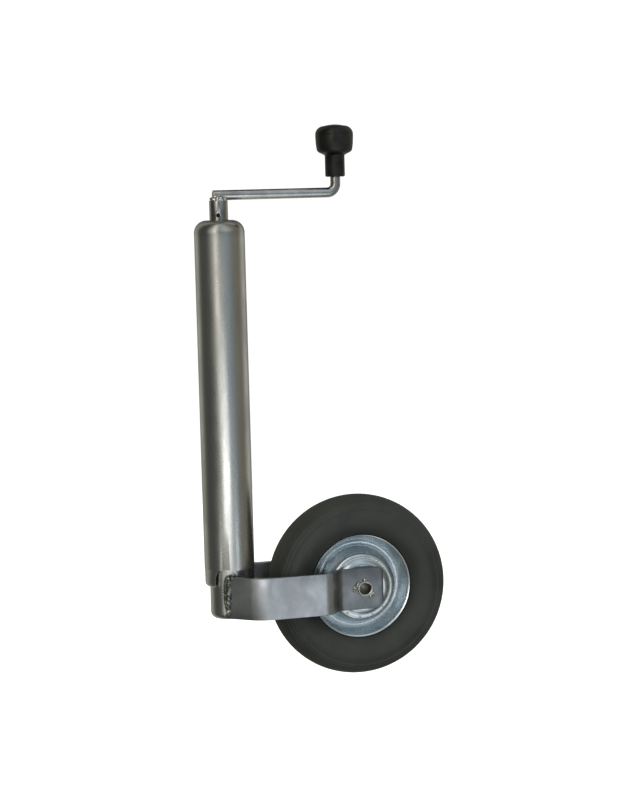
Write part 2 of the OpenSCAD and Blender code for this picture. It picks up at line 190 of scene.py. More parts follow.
# %% All the cards, added up
cream = (1.0, 0.96, 0.88)
blue = (0.74, 0.9, 1.05)
brown = (1.0, 0.84, 0.58)
olive = (0.98, 1.0, 0.84)
cards = [
    card(-38, 28, 0.56, cream, lean=2.7),
    card(-32, 15, 1.5, cream, between=(-0.045, 0.0)),
    card(-30, 17, 0.42, cream, between=(-0.15, -0.19)),
    card(18, 44, 0.21, blue),
    card(15, 60, 0.20, blue, between=(-0.16, -0.32)),
    card(10, 95, 0.22, cream, between=(0.10, 0.55)),
    card(15, 50, 0.24, blue, between=(0.07, 0.20)),
    card(62, 34, 0.13, brown),
    card(112, 42, 0.42, cream),
    card(-148, 40, 0.36, olive),
    card(165, 26, 0.7, cream, between=(0.5, 0.1)),
]
gap_light = (0.07, 0.073, 0.066)
total = gap_light
for stripe in cards:
    adder = sky_node("ShaderNodeVectorMath", operation="ADD")
    if isinstance(total, tuple):
        adder.inputs[0].default_value = total
    else:
        sky.links.new(total, adder.inputs[0])
    sky.links.new(stripe, adder.inputs[1])
    total = adder.outputs["Vector"]
print("cards:", len(cards))

# %% White for the camera, the cards for everything else
seen_by = sky_node("ShaderNodeLightPath")
white = sky_node("ShaderNodeBackground")
white.inputs["Color"].default_value = (1, 1, 1, 1)
white.inputs["Strength"].default_value = 1.05
around = sky_node("ShaderNodeBackground")
sky.links.new(total, around.inputs["Color"])
around.inputs["Strength"].default_value = 1.0
both = sky_node("ShaderNodeMixShader")
sky.links.new(seen_by.outputs["Is Camera Ray"], both.inputs[0])
sky.links.new(around.outputs[0], both.inputs[1])
sky.links.new(white.outputs[0], both.inputs[2])
sky.links.new(both.outputs[0], sky_node("ShaderNodeOutputWorld").inputs["Surface"])
bpy.context.scene.view_settings.view_transform = "Standard"
print("the camera sees white, the metal sees", len(cards), "cards")

# %% [markdown]
# ## Floor and soft boxes
# The floor lies where the wheel reaches when the leg is wound all the way out, so no pose sinks into it.
# It is pale and a little self-lit, because a sheet of white paper in a studio is lit from all sides.
# Metal doesn't mirror it, which keeps the undersides dark. Two large soft boxes light the matt pieces:
# rubber and plastic show hardly anything of the cards. Three small glowing cards stand close to the tube,
# the wheel and the leg. The world is endlessly far off, so only a near card can brighten one stretch
# of a straight tube and leave the next one dark.


# %% Floor
travel = next(j for j in frame["joints"] if j["name"] == "leg_slide")["range_m"][1]
floor_z = tyre_low.z - travel - 3 * mm
floor_half = 3.0
floor_mesh = bpy.data.meshes.new("studio_floor")
floor_mesh.from_pydata(
    [(x * floor_half, y * floor_half, floor_z) for x, y in ((-1, -1), (1, -1), (1, 1), (-1, 1))],
    [],
    [(0, 1, 2, 3)],
)
floor = bpy.data.objects.new("studio_floor", floor_mesh)
bpy.context.scene.collection.objects.link(floor)
floor.visible_glossy = False
floor.visible_diffuse = False
paper = bpy.data.materials.new("floor_paper")
paper.use_nodes = True
paper_shader = paper.node_tree.nodes["Principled BSDF"]
paper_shader.inputs["Base Color"].default_value = (0.9, 0.9, 0.9, 1)
paper_shader.inputs["Roughness"].default_value = 0.8
paper_shader.inputs["Emission Color"].default_value = (1, 1, 1, 1)
paper_shader.inputs["Emission Strength"].default_value = 0.7
floor_mesh.materials.append(paper)
print("floor at z", round(floor_z, 3))


# %% Soft boxes
def soft_box(name, place, size, watts, colour):
    lamp = bpy.data.lights.new(name, "AREA")
    lamp.size = size
    lamp.energy = watts
    lamp.color = colour
    box = bpy.data.objects.new(name, lamp)
    bpy.context.scene.collection.objects.link(box)
    box.location = place
    box.rotation_euler = (look_at - box.location).to_track_quat("-Z", "Y").to_euler()
    return box


key_box = soft_box("key_box", Vector((-0.9, -2.0, 1.7)), 1.2, 24, (1.0, 0.98, 0.94))
fill_box = soft_box("fill_box", Vector((2.2, -1.2, 0.9)), 1.4, 25, (0.92, 0.97, 1.0))
back_box = soft_box("back_box", Vector((0.5, 2.4, 1.6)), 1.4, 26, (1.0, 0.98, 0.95))
for box in (key_box, fill_box, back_box):
    box.visible_glossy = False
print("soft boxes:", key_box.name, fill_box.name, back_box.name)


# %% Near cards
def near_card(name, place, aim, width, height, glow, colour):
    """A small glowing card close by, which only metal mirrors and the camera doesn't see."""
    oval_area = math.pi / 4 * width * height
    watts = glow * math.pi * oval_area
    panel = soft_box(name, place, width, watts, colour)
    panel.data.shape = "ELLIPSE"
    panel.data.size_y = height
    panel.rotation_euler = (aim - panel.location).to_track_quat("-Z", "Y").to_euler()
    panel.visible_camera = False
    return panel


cool, warm = (0.95, 0.98, 1.0), (1.0, 0.98, 0.93)
low_on_tube, low_on_leg = Vector((0, 0, -0.062)), Vector((0, 0, -0.225))
near_card("tube_card", Vector((-0.188, -0.8, -0.188)), low_on_tube, 0.46, 0.25, 2.3, cool)
near_card("wheel_card", Vector((0.39, -0.78, -0.4)), hub, 0.2, 0.2, 1.6, (0.93, 0.97, 1.0))
near_card("leg_card", Vector((-0.46, -0.41, -0.35)), low_on_leg, 0.14, 0.2, 0.9, warm)
print("lamps:", len(bpy.data.lights))

# %% [markdown]
# ## Helpers for finishes
# A finish is a shader whose colour, roughness and fine relief change from place to place. Noise in the
# object's own coordinates does that with no pictures, and it stays put when the piece moves.
# These few helpers keep each recipe short: start a finish, read a noise, spread it between
# two values, turn it into a colour, and press it into the surface.


# %% Start a finish and read a noise
def start_finish(name, metallic, roughness):
    finish = bpy.data.materials.new(name)
    finish.use_nodes = True
    shader = finish.node_tree.nodes["Principled BSDF"]
    shader.inputs["Metallic"].default_value = metallic
    shader.inputs["Roughness"].default_value = roughness
    place = finish.node_tree.nodes.new("ShaderNodeTexCoord").outputs["Object"]
    return finish, shader, place


def stretched(finish, place, scale):
    mapping = finish.node_tree.nodes.new("ShaderNodeMapping")
    mapping.inputs["Scale"].default_value = scale
    finish.node_tree.links.new(place, mapping.inputs["Vector"])
    return mapping.outputs["Vector"]


def noise(finish, place, scale, detail=3.0, rough=0.55, twist=0.0):
    node = finish.node_tree.nodes.new("ShaderNodeTexNoise")
    node.inputs["Scale"].default_value = scale
    node.inputs["Detail"].default_value = detail
    node.inputs["Roughness"].default_value = rough
    node.inputs["Distortion"].default_value = twist
    finish.node_tree.links.new(place, node.inputs["Vector"])
    return node.outputs["Fac"]


def axis(finish, place, letter):
    parted = finish.node_tree.nodes.new("ShaderNodeSeparateXYZ")
    finish.node_tree.links.new(place, parted.inputs[0])
    return parted.outputs[letter]


print("place and noise helpers ready")


# %% Spread, mix and press in
def spread(finish, value, low, high, to_low, to_high):
    node = finish.node_tree.nodes.new("ShaderNodeMapRange")
    node.interpolation_type = "SMOOTHSTEP"
    ends = {"From Min": low, "From Max": high, "To Min": to_low, "To Max": to_high}
    for name, number in ends.items():
        node.inputs[name].default_value = number
    finish.node_tree.links.new(value, node.inputs["Value"])
    return node.outputs["Result"]


def mixed(finish, share, first, second):
    """Colour first where share is 0, second where it is 1. Each is a colour or another node's output."""
    node = finish.node_tree.nodes.new("ShaderNodeMix")
    node.data_type = "RGBA"
    finish.node_tree.links.new(share, node.inputs[0])
    for socket, colour in ((node.inputs[6], first), (node.inputs[7], second)):
        if isinstance(colour, tuple):
            socket.default_value = (*colour, 1)
        else:
            finish.node_tree.links.new(colour, socket)
    return node.outputs[2]


def blend(finish, value, low, high, most, first, second):
    """Colour first where the value is under low. Over high it is second, by as much as most says."""
    return mixed(finish, spread(finish, value, low, high, 0, most), first, second)


def combined(finish, first, second, operation="ADD"):
    node = finish.node_tree.nodes.new("ShaderNodeMath")
    node.operation = operation
    for socket, value in zip(node.inputs, (first, second)):
        if isinstance(value, (int, float)):
            socket.default_value = value
        else:
            finish.node_tree.links.new(value, socket)
    return node.outputs[0]


def relief(finish, shader, height, depth):
    """Presses a height between 0 and 1 into the surface, depth metres deep."""
    node = finish.node_tree.nodes.new("ShaderNodeBump")
    node.inputs["Distance"].default_value = depth
    finish.node_tree.links.new(height, node.inputs["Height"])
    finish.node_tree.links.new(node.outputs["Normal"], shader.inputs["Normal"])


def feed(finish, shader, socket, value):
    finish.node_tree.links.new(value, shader.inputs[socket])


print("colour and relief helpers ready")

# %% [markdown]
# ## Zinc on the tubes
# The tubes are drawn steel with a thin zinc coat. The coat is semi-gloss, a little cloudy, and it keeps the
# long faint lines that drawing leaves. A noise squeezed along Z makes those lines, a broad noise the
# clouds, and a very fine one the grain. Anisotropy could streak the highlights instead, but it
# needs tangents that a bent or cut tube doesn't have. Towards the dome's top the colour is painted darker, a
# painted shade.


# %% Tube zinc
def make_tube_zinc():
    finish, shader, place = start_finish("tube_zinc", 1.0, 0.3)
    lines = noise(finish, stretched(finish, place, (1, 1, 0.012)), 900, 2)
    clouds = noise(finish, stretched(finish, place, (1, 1, 0.45)), 38, 4, 0.6, 0.4)
    grains = noise(finish, place, 1500, 2, 0.7)
    streaks = noise(finish, stretched(finish, place, (1, 1, 0.1)), 120, 3, 0.6)
    cloudy = blend(finish, clouds, 0.32, 0.68, 1, (0.56, 0.565, 0.54), (0.70, 0.70, 0.68))
    streaked = blend(finish, streaks, 0.56, 0.80, 0.35, cloudy, (0.43, 0.435, 0.42))
    speckled = blend(finish, grains, 0.56, 0.78, 0.35, streaked, (0.38, 0.385, 0.37))
    # Painted shade: the colour turns darker towards the dome's top.
    dome_shade_from, dome_shade_to = tube_high.z - 24 * mm, tube_high.z - 5 * mm
    dome_shaded = blend(finish, axis(finish, place, "Z"), dome_shade_from, dome_shade_to, 0.6, speckled, (0.30, 0.30, 0.27))
    feed(finish, shader, "Base Color", dome_shaded)
    feed(finish, shader, "Roughness", spread(finish, clouds, 0.3, 0.7, 0.34, 0.24))
    fine = combined(finish, lines, spread(finish, grains, 0.3, 0.7, 0, 0.5))
    relief(finish, shader, fine, 0.012 * mm)
    return finish


tube_zinc = make_tube_zinc()
print("finish:", tube_zinc.name)

# %% [markdown]
# ## Zinc on the flat bar
# The fork arms are cut from hot rolled bar, whose skin is never quite smooth, so the plating on them is
# blotchy, with patches that are duller, and it is scuffed. Towards the hub the colour is painted darker,
# a painted shade, and the right arm is also painted dark beside its weld, a painted shade. The distances along
# X and Y drive those changes.


# %% Bar zinc
def make_bar_zinc():
    finish, shader, place = start_finish("bar_zinc", 1.0, 0.35)
    blotches = noise(finish, stretched(finish, place, (1, 1, 0.8)), 46, 5, 0.62, 0.8)
    patches = noise(finish, place, 19, 3, 0.5, 0.3)
    grains = noise(finish, place, 1300, 2, 0.7)
    scuffs = noise(finish, stretched(finish, place, (0.25, 1, 1)), 420, 3, 0.65)
    from_leg, from_middle = axis(finish, place, "X"), axis(finish, place, "Y")
    # Painted shade: towards the hub end the arms are mixed into the dark colour below.
    painted_shade_near_hub = spread(finish, from_leg, hub.x - 50 * mm, hub.x - 32 * mm, 0, 0.82)
    base = blend(finish, blotches, 0.3, 0.7, 1, (0.47, 0.49, 0.52), (0.66, 0.68, 0.71))
    patched = blend(finish, patches, 0.5, 0.72, 0.55, base, (0.40, 0.415, 0.44))
    dark = blend(finish, blotches, 0.35, 0.75, 1, (0.12, 0.13, 0.135), (0.21, 0.22, 0.23))
    # Painted shade: beside its weld the right arm is mixed into a dark colour.
    near_weld_shade = spread(finish, from_leg, 14 * mm, 44 * mm, 0.55, 0)
    right_arm = spread(finish, from_middle, -5 * mm, 5 * mm, 1, 0)
    painted_shade_by_weld = spread(finish, combined(finish, near_weld_shade, right_arm, "MULTIPLY"), 0, 1, 0, 1)
    whole = mixed(finish, painted_shade_by_weld, mixed(finish, painted_shade_near_hub, patched, dark), (0.22, 0.235, 0.23))
    worn = blend(finish, scuffs, 0.64, 0.74, 0.3, whole, (0.75, 0.76, 0.76))
    speckled = blend(finish, grains, 0.58, 0.8, 0.3, worn, (0.3, 0.31, 0.32))
    feed(finish, shader, "Base Color", speckled)
    feed(finish, shader, "Roughness", spread(finish, patches, 0.35, 0.7, 0.30, 0.44))
    relief(finish, shader, combined(finish, blotches, spread(finish, grains, 0.3, 0.7, 0, 0.2)), 0.05 * mm)
    return finish


bar_zinc = make_bar_zinc()
print("finish:", bar_zinc.name)

# %% [markdown]
# ## Bright rod, weld and rim finishes
# The crank's rod is cold drawn, so its coat is smooth, with fine lines along it. Weld metal is rough, dark
# between its ripples and bright on its crowns. The small welds on the crank and the axle are newer and
# brighter, so they have a finish of their own. The rim discs are pressed sheet with a blue
# passivated zinc coat, smoother than the tubes.


# %% Rod zinc
def make_rod_zinc():
    finish, shader, place = start_finish("rod_zinc", 1.0, 0.24)
    lines = noise(finish, stretched(finish, place, (0.02, 1, 1)), 800, 2)
    clouds = noise(finish, place, 60, 4, 0.6, 0.3)
    base = blend(finish, clouds, 0.3, 0.7, 1, (0.42, 0.41, 0.40), (0.56, 0.56, 0.55))
    feed(finish, shader, "Base Color", base)
    feed(finish, shader, "Roughness", spread(finish, clouds, 0.3, 0.7, 0.20, 0.29))
    relief(finish, shader, lines, 0.008 * mm)
    return finish


rod_zinc = make_rod_zinc()
print("finish:", rod_zinc.name)


# %% Weld metal, dark and bright
def make_weld_metal():
    finish, shader, place = start_finish("weld_metal", 1.0, 0.4)
    lumps = noise(finish, place, 210, 4, 0.6, 0.6)
    soot = noise(finish, place, 90, 3, 0.6)
    base = blend(finish, lumps, 0.38, 0.66, 1, (0.12, 0.12, 0.11), (0.62, 0.61, 0.58))
    sooty = blend(finish, soot, 0.4, 0.65, 0.7, base, (0.10, 0.10, 0.095))
    feed(finish, shader, "Base Color", sooty)
    feed(finish, shader, "Roughness", spread(finish, lumps, 0.35, 0.7, 0.5, 0.22))
    relief(finish, shader, lumps, 0.35 * mm)
    return finish


def make_bright_weld():
    finish, shader, place = start_finish("bright_weld", 1.0, 0.3)
    lumps = noise(finish, place, 300, 4, 0.6, 0.8)
    base = blend(finish, lumps, 0.40, 0.58, 1, (0.24, 0.235, 0.21), (0.92, 0.91, 0.88))
    feed(finish, shader, "Base Color", base)
    feed(finish, shader, "Roughness", spread(finish, lumps, 0.35, 0.65, 0.45, 0.2))
    relief(finish, shader, lumps, 0.3 * mm)
    return finish


weld_metal = make_weld_metal()
bright_weld = make_bright_weld()
print("finishes:", weld_metal.name, bright_weld.name)


# %% Rim zinc
def make_rim_zinc():
    finish, shader, place = start_finish("rim_zinc", 1.0, 0.24)
    clouds = noise(finish, place, 34, 4, 0.6, 0.5)
    grains = noise(finish, place, 1200, 2, 0.7)
    drips = noise(finish, stretched(finish, place, (1, 1, 0.4)), 90, 3, 0.6, 0.6)
    base = blend(finish, clouds, 0.3, 0.7, 1, (0.52, 0.575, 0.60), (0.70, 0.75, 0.78))
    stained = blend(finish, drips, 0.6, 0.78, 0.4, base, (0.60, 0.57, 0.50))
    speckled = blend(finish, grains, 0.6, 0.8, 0.22, stained, (0.33, 0.36, 0.38))
    feed(finish, shader, "Base Color", speckled)
    feed(finish, shader, "Roughness", spread(finish, clouds, 0.3, 0.7, 0.20, 0.30))
    relief(finish, shader, spread(finish, grains, 0.3, 0.7, 0, 1), 0.006 * mm)
    return finish


rim_zinc = make_rim_zinc()
print("finish:", rim_zinc.name)

# %% [markdown]
# ## Rubber, plastic and the inner metals
# The tyre is solid rubber, nearly black, with dust in its pores and a few pale scuffs. The knob is moulded
# plastic with a soft sheen. Inside sit turned steel, ground bearing steel, a brass cage and
# nylon rings. They are out of sight until the jack comes apart, but each is still its own finish.


# %% Tyre rubber
def make_tyre_rubber():
    finish, shader, place = start_finish("tyre_rubber", 0.0, 0.6)
    pores = noise(finish, place, 1400, 3, 0.7)
    dust = noise(finish, place, 26, 5, 0.6, 0.5)
    scuffs = noise(finish, stretched(finish, place, (1, 1, 0.6)), 75, 4, 0.7, 1.2)
    base = blend(finish, dust, 0.32, 0.7, 1, (0.020, 0.023, 0.020), (0.034, 0.037, 0.032))
    pored = blend(finish, pores, 0.55, 0.75, 0.35, base, (0.075, 0.078, 0.070))
    scuffed = blend(finish, scuffs, 0.70, 0.80, 0.35, pored, (0.16, 0.16, 0.15))
    feed(finish, shader, "Base Color", scuffed)
    feed(finish, shader, "Roughness", spread(finish, dust, 0.3, 0.7, 0.50, 0.68))
    relief(finish, shader, combined(finish, pores, spread(finish, dust, 0.3, 0.7, 0, 1)), 0.03 * mm)
    return finish


tyre_rubber = make_tyre_rubber()
print("finish:", tyre_rubber.name)


# %% Knob plastic
def make_knob_plastic():
    finish, shader, place = start_finish("knob_plastic", 0.0, 0.42)
    grain = noise(finish, place, 1700, 2, 0.6)
    wear = noise(finish, place, 55, 4, 0.6, 0.5)
    base = blend(finish, wear, 0.35, 0.7, 1, (0.008, 0.008, 0.007), (0.014, 0.014, 0.012))
    feed(finish, shader, "Base Color", base)
    shader.inputs["Specular IOR Level"].default_value = 0.34
    feed(finish, shader, "Roughness", spread(finish, wear, 0.3, 0.7, 0.30, 0.42))
    relief(finish, shader, grain, 0.015 * mm)
    return finish


knob_plastic = make_knob_plastic()
print("finish:", knob_plastic.name)


# %% Inner metals and nylon
def make_inner_metal(name, dark, light, smooth, rough, scale):
    finish, shader, place = start_finish(name, 1.0, rough)
    marks = noise(finish, place, scale, 4, 0.6, 0.3)
    base = blend(finish, marks, 0.3, 0.7, 1, dark, light)
    feed(finish, shader, "Base Color", base)
    feed(finish, shader, "Roughness", spread(finish, marks, 0.3, 0.7, smooth, rough))
    relief(finish, shader, marks, 0.01 * mm)
    return finish


def make_nylon():
    finish, shader, place = start_finish("nylon", 0.0, 0.5)
    shader.inputs["Subsurface Weight"].default_value = 0.15
    shader.inputs["Subsurface Radius"].default_value = (1 * mm, 1 * mm, 0.8 * mm)
    grease = noise(finish, place, 90, 4, 0.6, 0.4)
    base = blend(finish, grease, 0.4, 0.75, 1, (0.80, 0.78, 0.70), (0.55, 0.50, 0.38))
    feed(finish, shader, "Base Color", base)
    feed(finish, shader, "Roughness", spread(finish, grease, 0.4, 0.7, 0.5, 0.3))
    relief(finish, shader, grease, 0.03 * mm)
    return finish


turned_steel = make_inner_metal("turned_steel", (0.36, 0.355, 0.34), (0.52, 0.515, 0.5), 0.25, 0.4, 700)
black_steel = make_inner_metal("black_steel", (0.03, 0.03, 0.028), (0.07, 0.07, 0.065), 0.4, 0.55, 500)
ground_steel = make_inner_metal("ground_steel", (0.66, 0.66, 0.67), (0.78, 0.78, 0.79), 0.08, 0.16, 1200)
cage_brass = make_inner_metal("cage_brass", (0.62, 0.45, 0.2), (0.78, 0.6, 0.3), 0.2, 0.36, 300)
nylon = make_nylon()
print("finishes:", len(bpy.data.materials))

# %% [markdown]
# ## Helpers for turned pieces
# Most of a jack is round: it is drawn, spun or turned. Such a piece is a flat outline swept once round an
# axis, which is what a lathe does. Spin in edit mode would do the same by hand. Writing the rings
# out in a function keeps the seam closed by itself and lets one outline serve for many pieces.


# %% Arc, and the end of every mesh
def arc(across, along, radius, start, end, parts=8):
    """Points of an arc, as (distance from the axis, place along it). Angles are in degrees."""
    angles = [math.radians(start + (end - start) * k / parts) for k in range(parts + 1)]
    return [(across + radius * math.cos(a), along + radius * math.sin(a)) for a in angles]


def finished(name, mesh, finish, smooth_angle=38):
    """Merges what touches, turns the faces outwards, smooths the shallow edges and gives the finish."""
    work = bmesh.new()
    work.from_mesh(mesh)
    bmesh.ops.remove_doubles(work, verts=work.verts, dist=0.001 * mm)
    bmesh.ops.dissolve_degenerate(work, edges=work.edges, dist=0.001 * mm)
    bmesh.ops.recalc_face_normals(work, faces=work.faces)
    work.to_mesh(mesh)
    work.free()
    mesh.materials.clear()
    mesh.materials.append(finish)
    mesh.polygons.foreach_set("material_index", [0] * len(mesh.polygons))
    mesh.shade_smooth()
    mesh.set_sharp_from_angle(angle=math.radians(smooth_angle))
    piece = bpy.data.objects.new(name, mesh)
    bpy.context.scene.collection.objects.link(piece)
    return piece


print("arc of 90 degrees in", len(arc(0, 0, 1, 0, 90)), "points")


# %% Lathe, plain rod and stacked rings
def lathe(name, outline, finish, parts=128, place=None):
    """Sweeps a closed outline round the Z axis. Place then turns and moves the result."""
    points = []
    for k in range(parts):
        angle = 2 * math.pi * k / parts
        points += [(r * math.cos(angle), r * math.sin(angle), z) for r, z in outline]
    count = len(outline)
    faces = []
    for k in range(parts):
        here, there = k * count, (k + 1) % parts * count
        for i in range(count):
            j = (i + 1) % count
            if outline[i][0] or outline[j][0]:
                faces.append((here + i, there + i, there + j, here + j))
    mesh = bpy.data.meshes.new(name)
    mesh.from_pydata(points, [], faces)
    if place is not None:
        mesh.transform(place)
    return finished(name, mesh, finish)


def rod(name, radius, low, high, finish, parts, place):
    """A plain round rod from low to high, which often serves as a drill."""
    return lathe(name, [(0, low), (radius, low), (radius, high), (0, high)], finish, parts, place)


def stacked(name, rings, finish, place=None):
    """A solid through several rings of points, with a flat face at each end."""
    count = len(rings[0])
    faces = []
    for k in range(len(rings) - 1):
        for i in range(count):
            j = (i + 1) % count
            faces.append((k * count + i, k * count + j, (k + 1) * count + j, (k + 1) * count + i))
    last = (len(rings) - 1) * count
    faces += [tuple(range(count)), tuple(range(last, last + count))]
    mesh = bpy.data.meshes.new(name)
    mesh.from_pydata([point for ring in rings for point in ring], [], faces)
    if place is not None:
        mesh.transform(place)
    return finished(name, mesh, finish)


def onto_axle(side=1):
    """Turns Z to the wheel's axis, pointing to +Y for side 1 and to -Y for side -1."""
    return Matrix.Translation(hub) @ Matrix.Rotation(-side * math.pi / 2, 4, "X")


print("lathe ready")


# %% [markdown]
# ## Helpers for cutting and for joining the frame
# A hole or a notch is cut with a Boolean, as a mill would, and the cutter is thrown away. The burr that is
# left is broken with a narrow bevel, because a perfectly sharp edge catches no light. The last helper
# seats a finished piece: it rides on its body and stands for its plain nodes.


# %% Cut, break edges, seat
def apply_modifiers(piece):
    evaluated = piece.evaluated_get(bpy.context.evaluated_depsgraph_get())
    mesh = bpy.data.meshes.new_from_object(evaluated)
    piece.modifiers.clear()
    piece.data = mesh


def cut(piece, *cutters):
    for cutter in cutters:
        saw = piece.modifiers.new("cut", "BOOLEAN")
        saw.object = cutter
        saw.operation = "DIFFERENCE"
        saw.solver = "EXACT"
    apply_modifiers(piece)
    for cutter in cutters:
        bpy.data.objects.remove(cutter)


def resmoothed(piece):
    piece.data.shade_smooth()
    piece.data.set_sharp_from_angle(angle=math.radians(40))


def break_edges(piece, width, angle=50):
    bevel = piece.modifiers.new("broken edges", "BEVEL")
    bevel.width = width
    bevel.segments = 2
    bevel.limit_method = "ANGLE"
    bevel.angle_limit = math.radians(angle)
    apply_modifiers(piece)
    resmoothed(piece)


def seat(piece, body, slot, *nodes):
    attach(piece, body)
    if nodes:
        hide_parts(*nodes)
    print(piece.name, "on", body, "with", len(piece.data.polygons), "faces")
    return piece


def softened(node, name, finish, width=0.3 * mm):
    """A copy of a plain node with its flat faces merged and its edges broken."""
    mesh = frame["nodes"][node].data.copy()
    work = bmesh.new()
    work.from_mesh(mesh)
    bmesh.ops.remove_doubles(work, verts=work.verts, dist=0.001 * mm)
    bmesh.ops.dissolve_limit(work, angle_limit=math.radians(1), verts=work.verts, edges=work.edges)
    work.to_mesh(mesh)
    work.free()
    piece = finished(name, mesh, finish)
    break_edges(piece, width)
    return piece


print("cut, bevel and seat helpers ready")

# %% [markdown]
# ## Outer tube
# The outer tube is one piece of drawn tube. Its top is spun over into a domed shoulder with an opening for
# the screw, and its lower lip is rolled in. Two arched notches in the lip catch the fork's welded
# corners when the leg is wound up, so that the wheel can't swing. The lathe makes the spun shape and
# two arched cutters make the notches.

# %% Outer tube
wall = 3 * mm
shoulder_r = 15 * mm
end_r = tube_r - 0.4 * mm
end_top = tube_low.z + 21 * mm
lip_r = 4.2 * mm
notch_half = 13.4 * mm
notch_top = tube_low.z + 23 * mm
notch_angle = 111.5
edge = 0.7 * mm


def outer_tube_outline():
    opening_r = sleeve_r + 0.5 * mm
    lip_in = leg_r + 0.6 * mm
    top, low = tube_high.z, tube_low.z
    points = arc(tube_r - shoulder_r, top - shoulder_r, shoulder_r, 0, 90, 14)
    points += arc(opening_r + edge, top - edge, edge, 90, 180, 4)
    points += arc(opening_r + edge, top - wall + edge, edge, 180, 270, 4)
    points += arc(tube_r - shoulder_r, top - shoulder_r, shoulder_r - wall, 90, 0, 12)
    points += arc(end_r - lip_r, low + lip_r, lip_r - wall + 0.4 * mm, 0, -90, 4)
    points += arc(lip_in + edge, low + wall - 0.4 * mm - edge, edge, 90, 180, 3)
    points += arc(lip_in + edge, low + edge, edge, 180, 270, 3)
    points += arc(end_r - lip_r, low + lip_r, lip_r, -90, 0, 10)
    points += [(end_r, low + lip_r + 1 * mm), (end_r, end_top - 1 * mm), (tube_r, end_top)]
    wall_top = top - shoulder_r
    rings = [end_top + 1 * mm] + [end_top + (wall_top - end_top) * k / 8 for k in range(1, 8)]
    points += [(tube_r, z) for z in rings + [wall_top - 1 * mm]]
    return points


def arch_cutter(angle):
    """A slot with a round top, pointing outwards from the axis at an angle."""
    top = arc(0, notch_top - notch_half, notch_half, 0, 180, 24)
    foot = tube_low.z - 10 * mm
    flat = [(notch_half, foot), *top, (-notch_half, foot)]
    rings = [[(x, y, z) for y, z in flat] for x in (tube_r - 10 * mm, tube_r + 10 * mm)]
    return stacked("arch", rings, tube_zinc, Matrix.Rotation(math.radians(angle), 4, "Z"))


outer_tube = lathe("drawn_outer_tube", outer_tube_outline(), tube_zinc, 160)
cut(outer_tube, arch_cutter(notch_angle), arch_cutter(-notch_angle))
break_edges(outer_tube, 0.45 * mm, 60)
seat(outer_tube, "housing", "zinc_tube", "outer_tube")

# %% [markdown]
# ## Inner tube and its end
# The inner tube slides in the outer one and carries the nut at its top. Its lower end is closed by a
# pressed disc, and a bead of weld runs round the disc. Three holes near the top take the nut's pins.

# %% Inner tube
leg_corner_r = 7 * mm
plug_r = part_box("end_plug")[1].x


def inner_tube_outline():
    top, low = leg_high.z, leg_low.z
    points = arc(leg_r - leg_corner_r, low + leg_corner_r, leg_corner_r, -90, 0, 10)
    rings = [low + leg_corner_r + 1 * mm] + [low + (top - low) * k / 8 for k in range(1, 8)]
    points += [(leg_r, z) for z in rings + [top - edge - 1 * mm]]
    points += arc(leg_r - edge, top - edge, edge, 0, 90, 3)
    points += arc(leg_r - wall + edge, top - edge, edge, 90, 180, 3)
    points += arc(leg_r - leg_corner_r, low + leg_corner_r, leg_corner_r - wall, 0, -90, 8)
    points += [(plug_r, low + wall), (plug_r, low)]
    return points


def pin_cutter(angle):
    height = middle("nut_pins").z
    turn = Matrix.Rotation(math.radians(angle), 4, "Z") @ Matrix.Rotation(math.pi / 2, 4, "Y")
    place = Matrix.Translation((0, 0, height)) @ turn
    return rod("pin_drill", 3 * mm, 18 * mm, 30 * mm, tube_zinc, 32, place)


inner_tube = lathe("drawn_inner_tube", inner_tube_outline(), tube_zinc, 128)
cut(inner_tube, *(pin_cutter(angle) for angle in (60, 180, 300)))
seat(inner_tube, "leg", "zinc_tube", "inner_tube")
seat(softened("end_plug", "pressed_end_plug", tube_zinc), "leg", "zinc_tube", "end_plug")

# %% [markdown]
# ## A tree of nodes for bent rod and another for weld beads
# Geometry Nodes suit what follows a path. The first tree rounds the corner of a path and sweeps a circle
# along it, as a bending machine does with rod. The second sweeps a bead whose size swells and shrinks
# along the path, because a welder stops a moment at each ripple, and then pushes its skin about with a
# noise. Both could be lathe work and sculpting, but here a path and a few named sizes are enough.


# %% Node tree helpers
def new_tree(name, **inputs):
    """A tree with a geometry input, the named inputs with their usual values, and a geometry output."""
    tree = bpy.data.node_groups.new(name, "GeometryNodeTree")
    tree.interface.new_socket(name="Geometry", in_out="INPUT", socket_type="NodeSocketGeometry")
    kinds = {float: "NodeSocketFloat", int: "NodeSocketInt", bpy.types.Material: "NodeSocketMaterial"}
    for label, value in inputs.items():
        title = label.replace("_", " ").capitalize()
        socket = tree.interface.new_socket(name=title, in_out="INPUT", socket_type=kinds[type(value)])
        socket.default_value = value
    tree.interface.new_socket(name="Geometry", in_out="OUTPUT", socket_type="NodeSocketGeometry")
    return tree, tree.nodes.new("NodeGroupInput").outputs


def add(tree, kind, links=None, **settings):
    """Adds a node. Links gives each input, by name or number, a value or another node's output."""
    node = tree.nodes.new(kind)
    for name, value in settings.items():
        setattr(node, name, value)
    for name, value in (links or {}).items():
        if isinstance(value, bpy.types.NodeSocket):
            tree.links.new(value, node.inputs[name])
        else:
            node.inputs[name].default_value = value
    return node


def maths(tree, operation, first, second=0.0):
    return add(tree, "ShaderNodeMath", {0: first, 1: second}, operation=operation).outputs[0]


def end_tree(tree, geometry, material):
    smooth = add(tree, "GeometryNodeSetShadeSmooth", {"Geometry": geometry})
    real = add(tree, "GeometryNodeRealizeInstances", {"Geometry": smooth.outputs[0]})
    coated = add(tree, "GeometryNodeSetMaterial", {"Geometry": real.outputs[0], "Material": material})
    add(tree, "NodeGroupOutput", {"Geometry": coated.outputs[0]})


print("tree helpers ready")


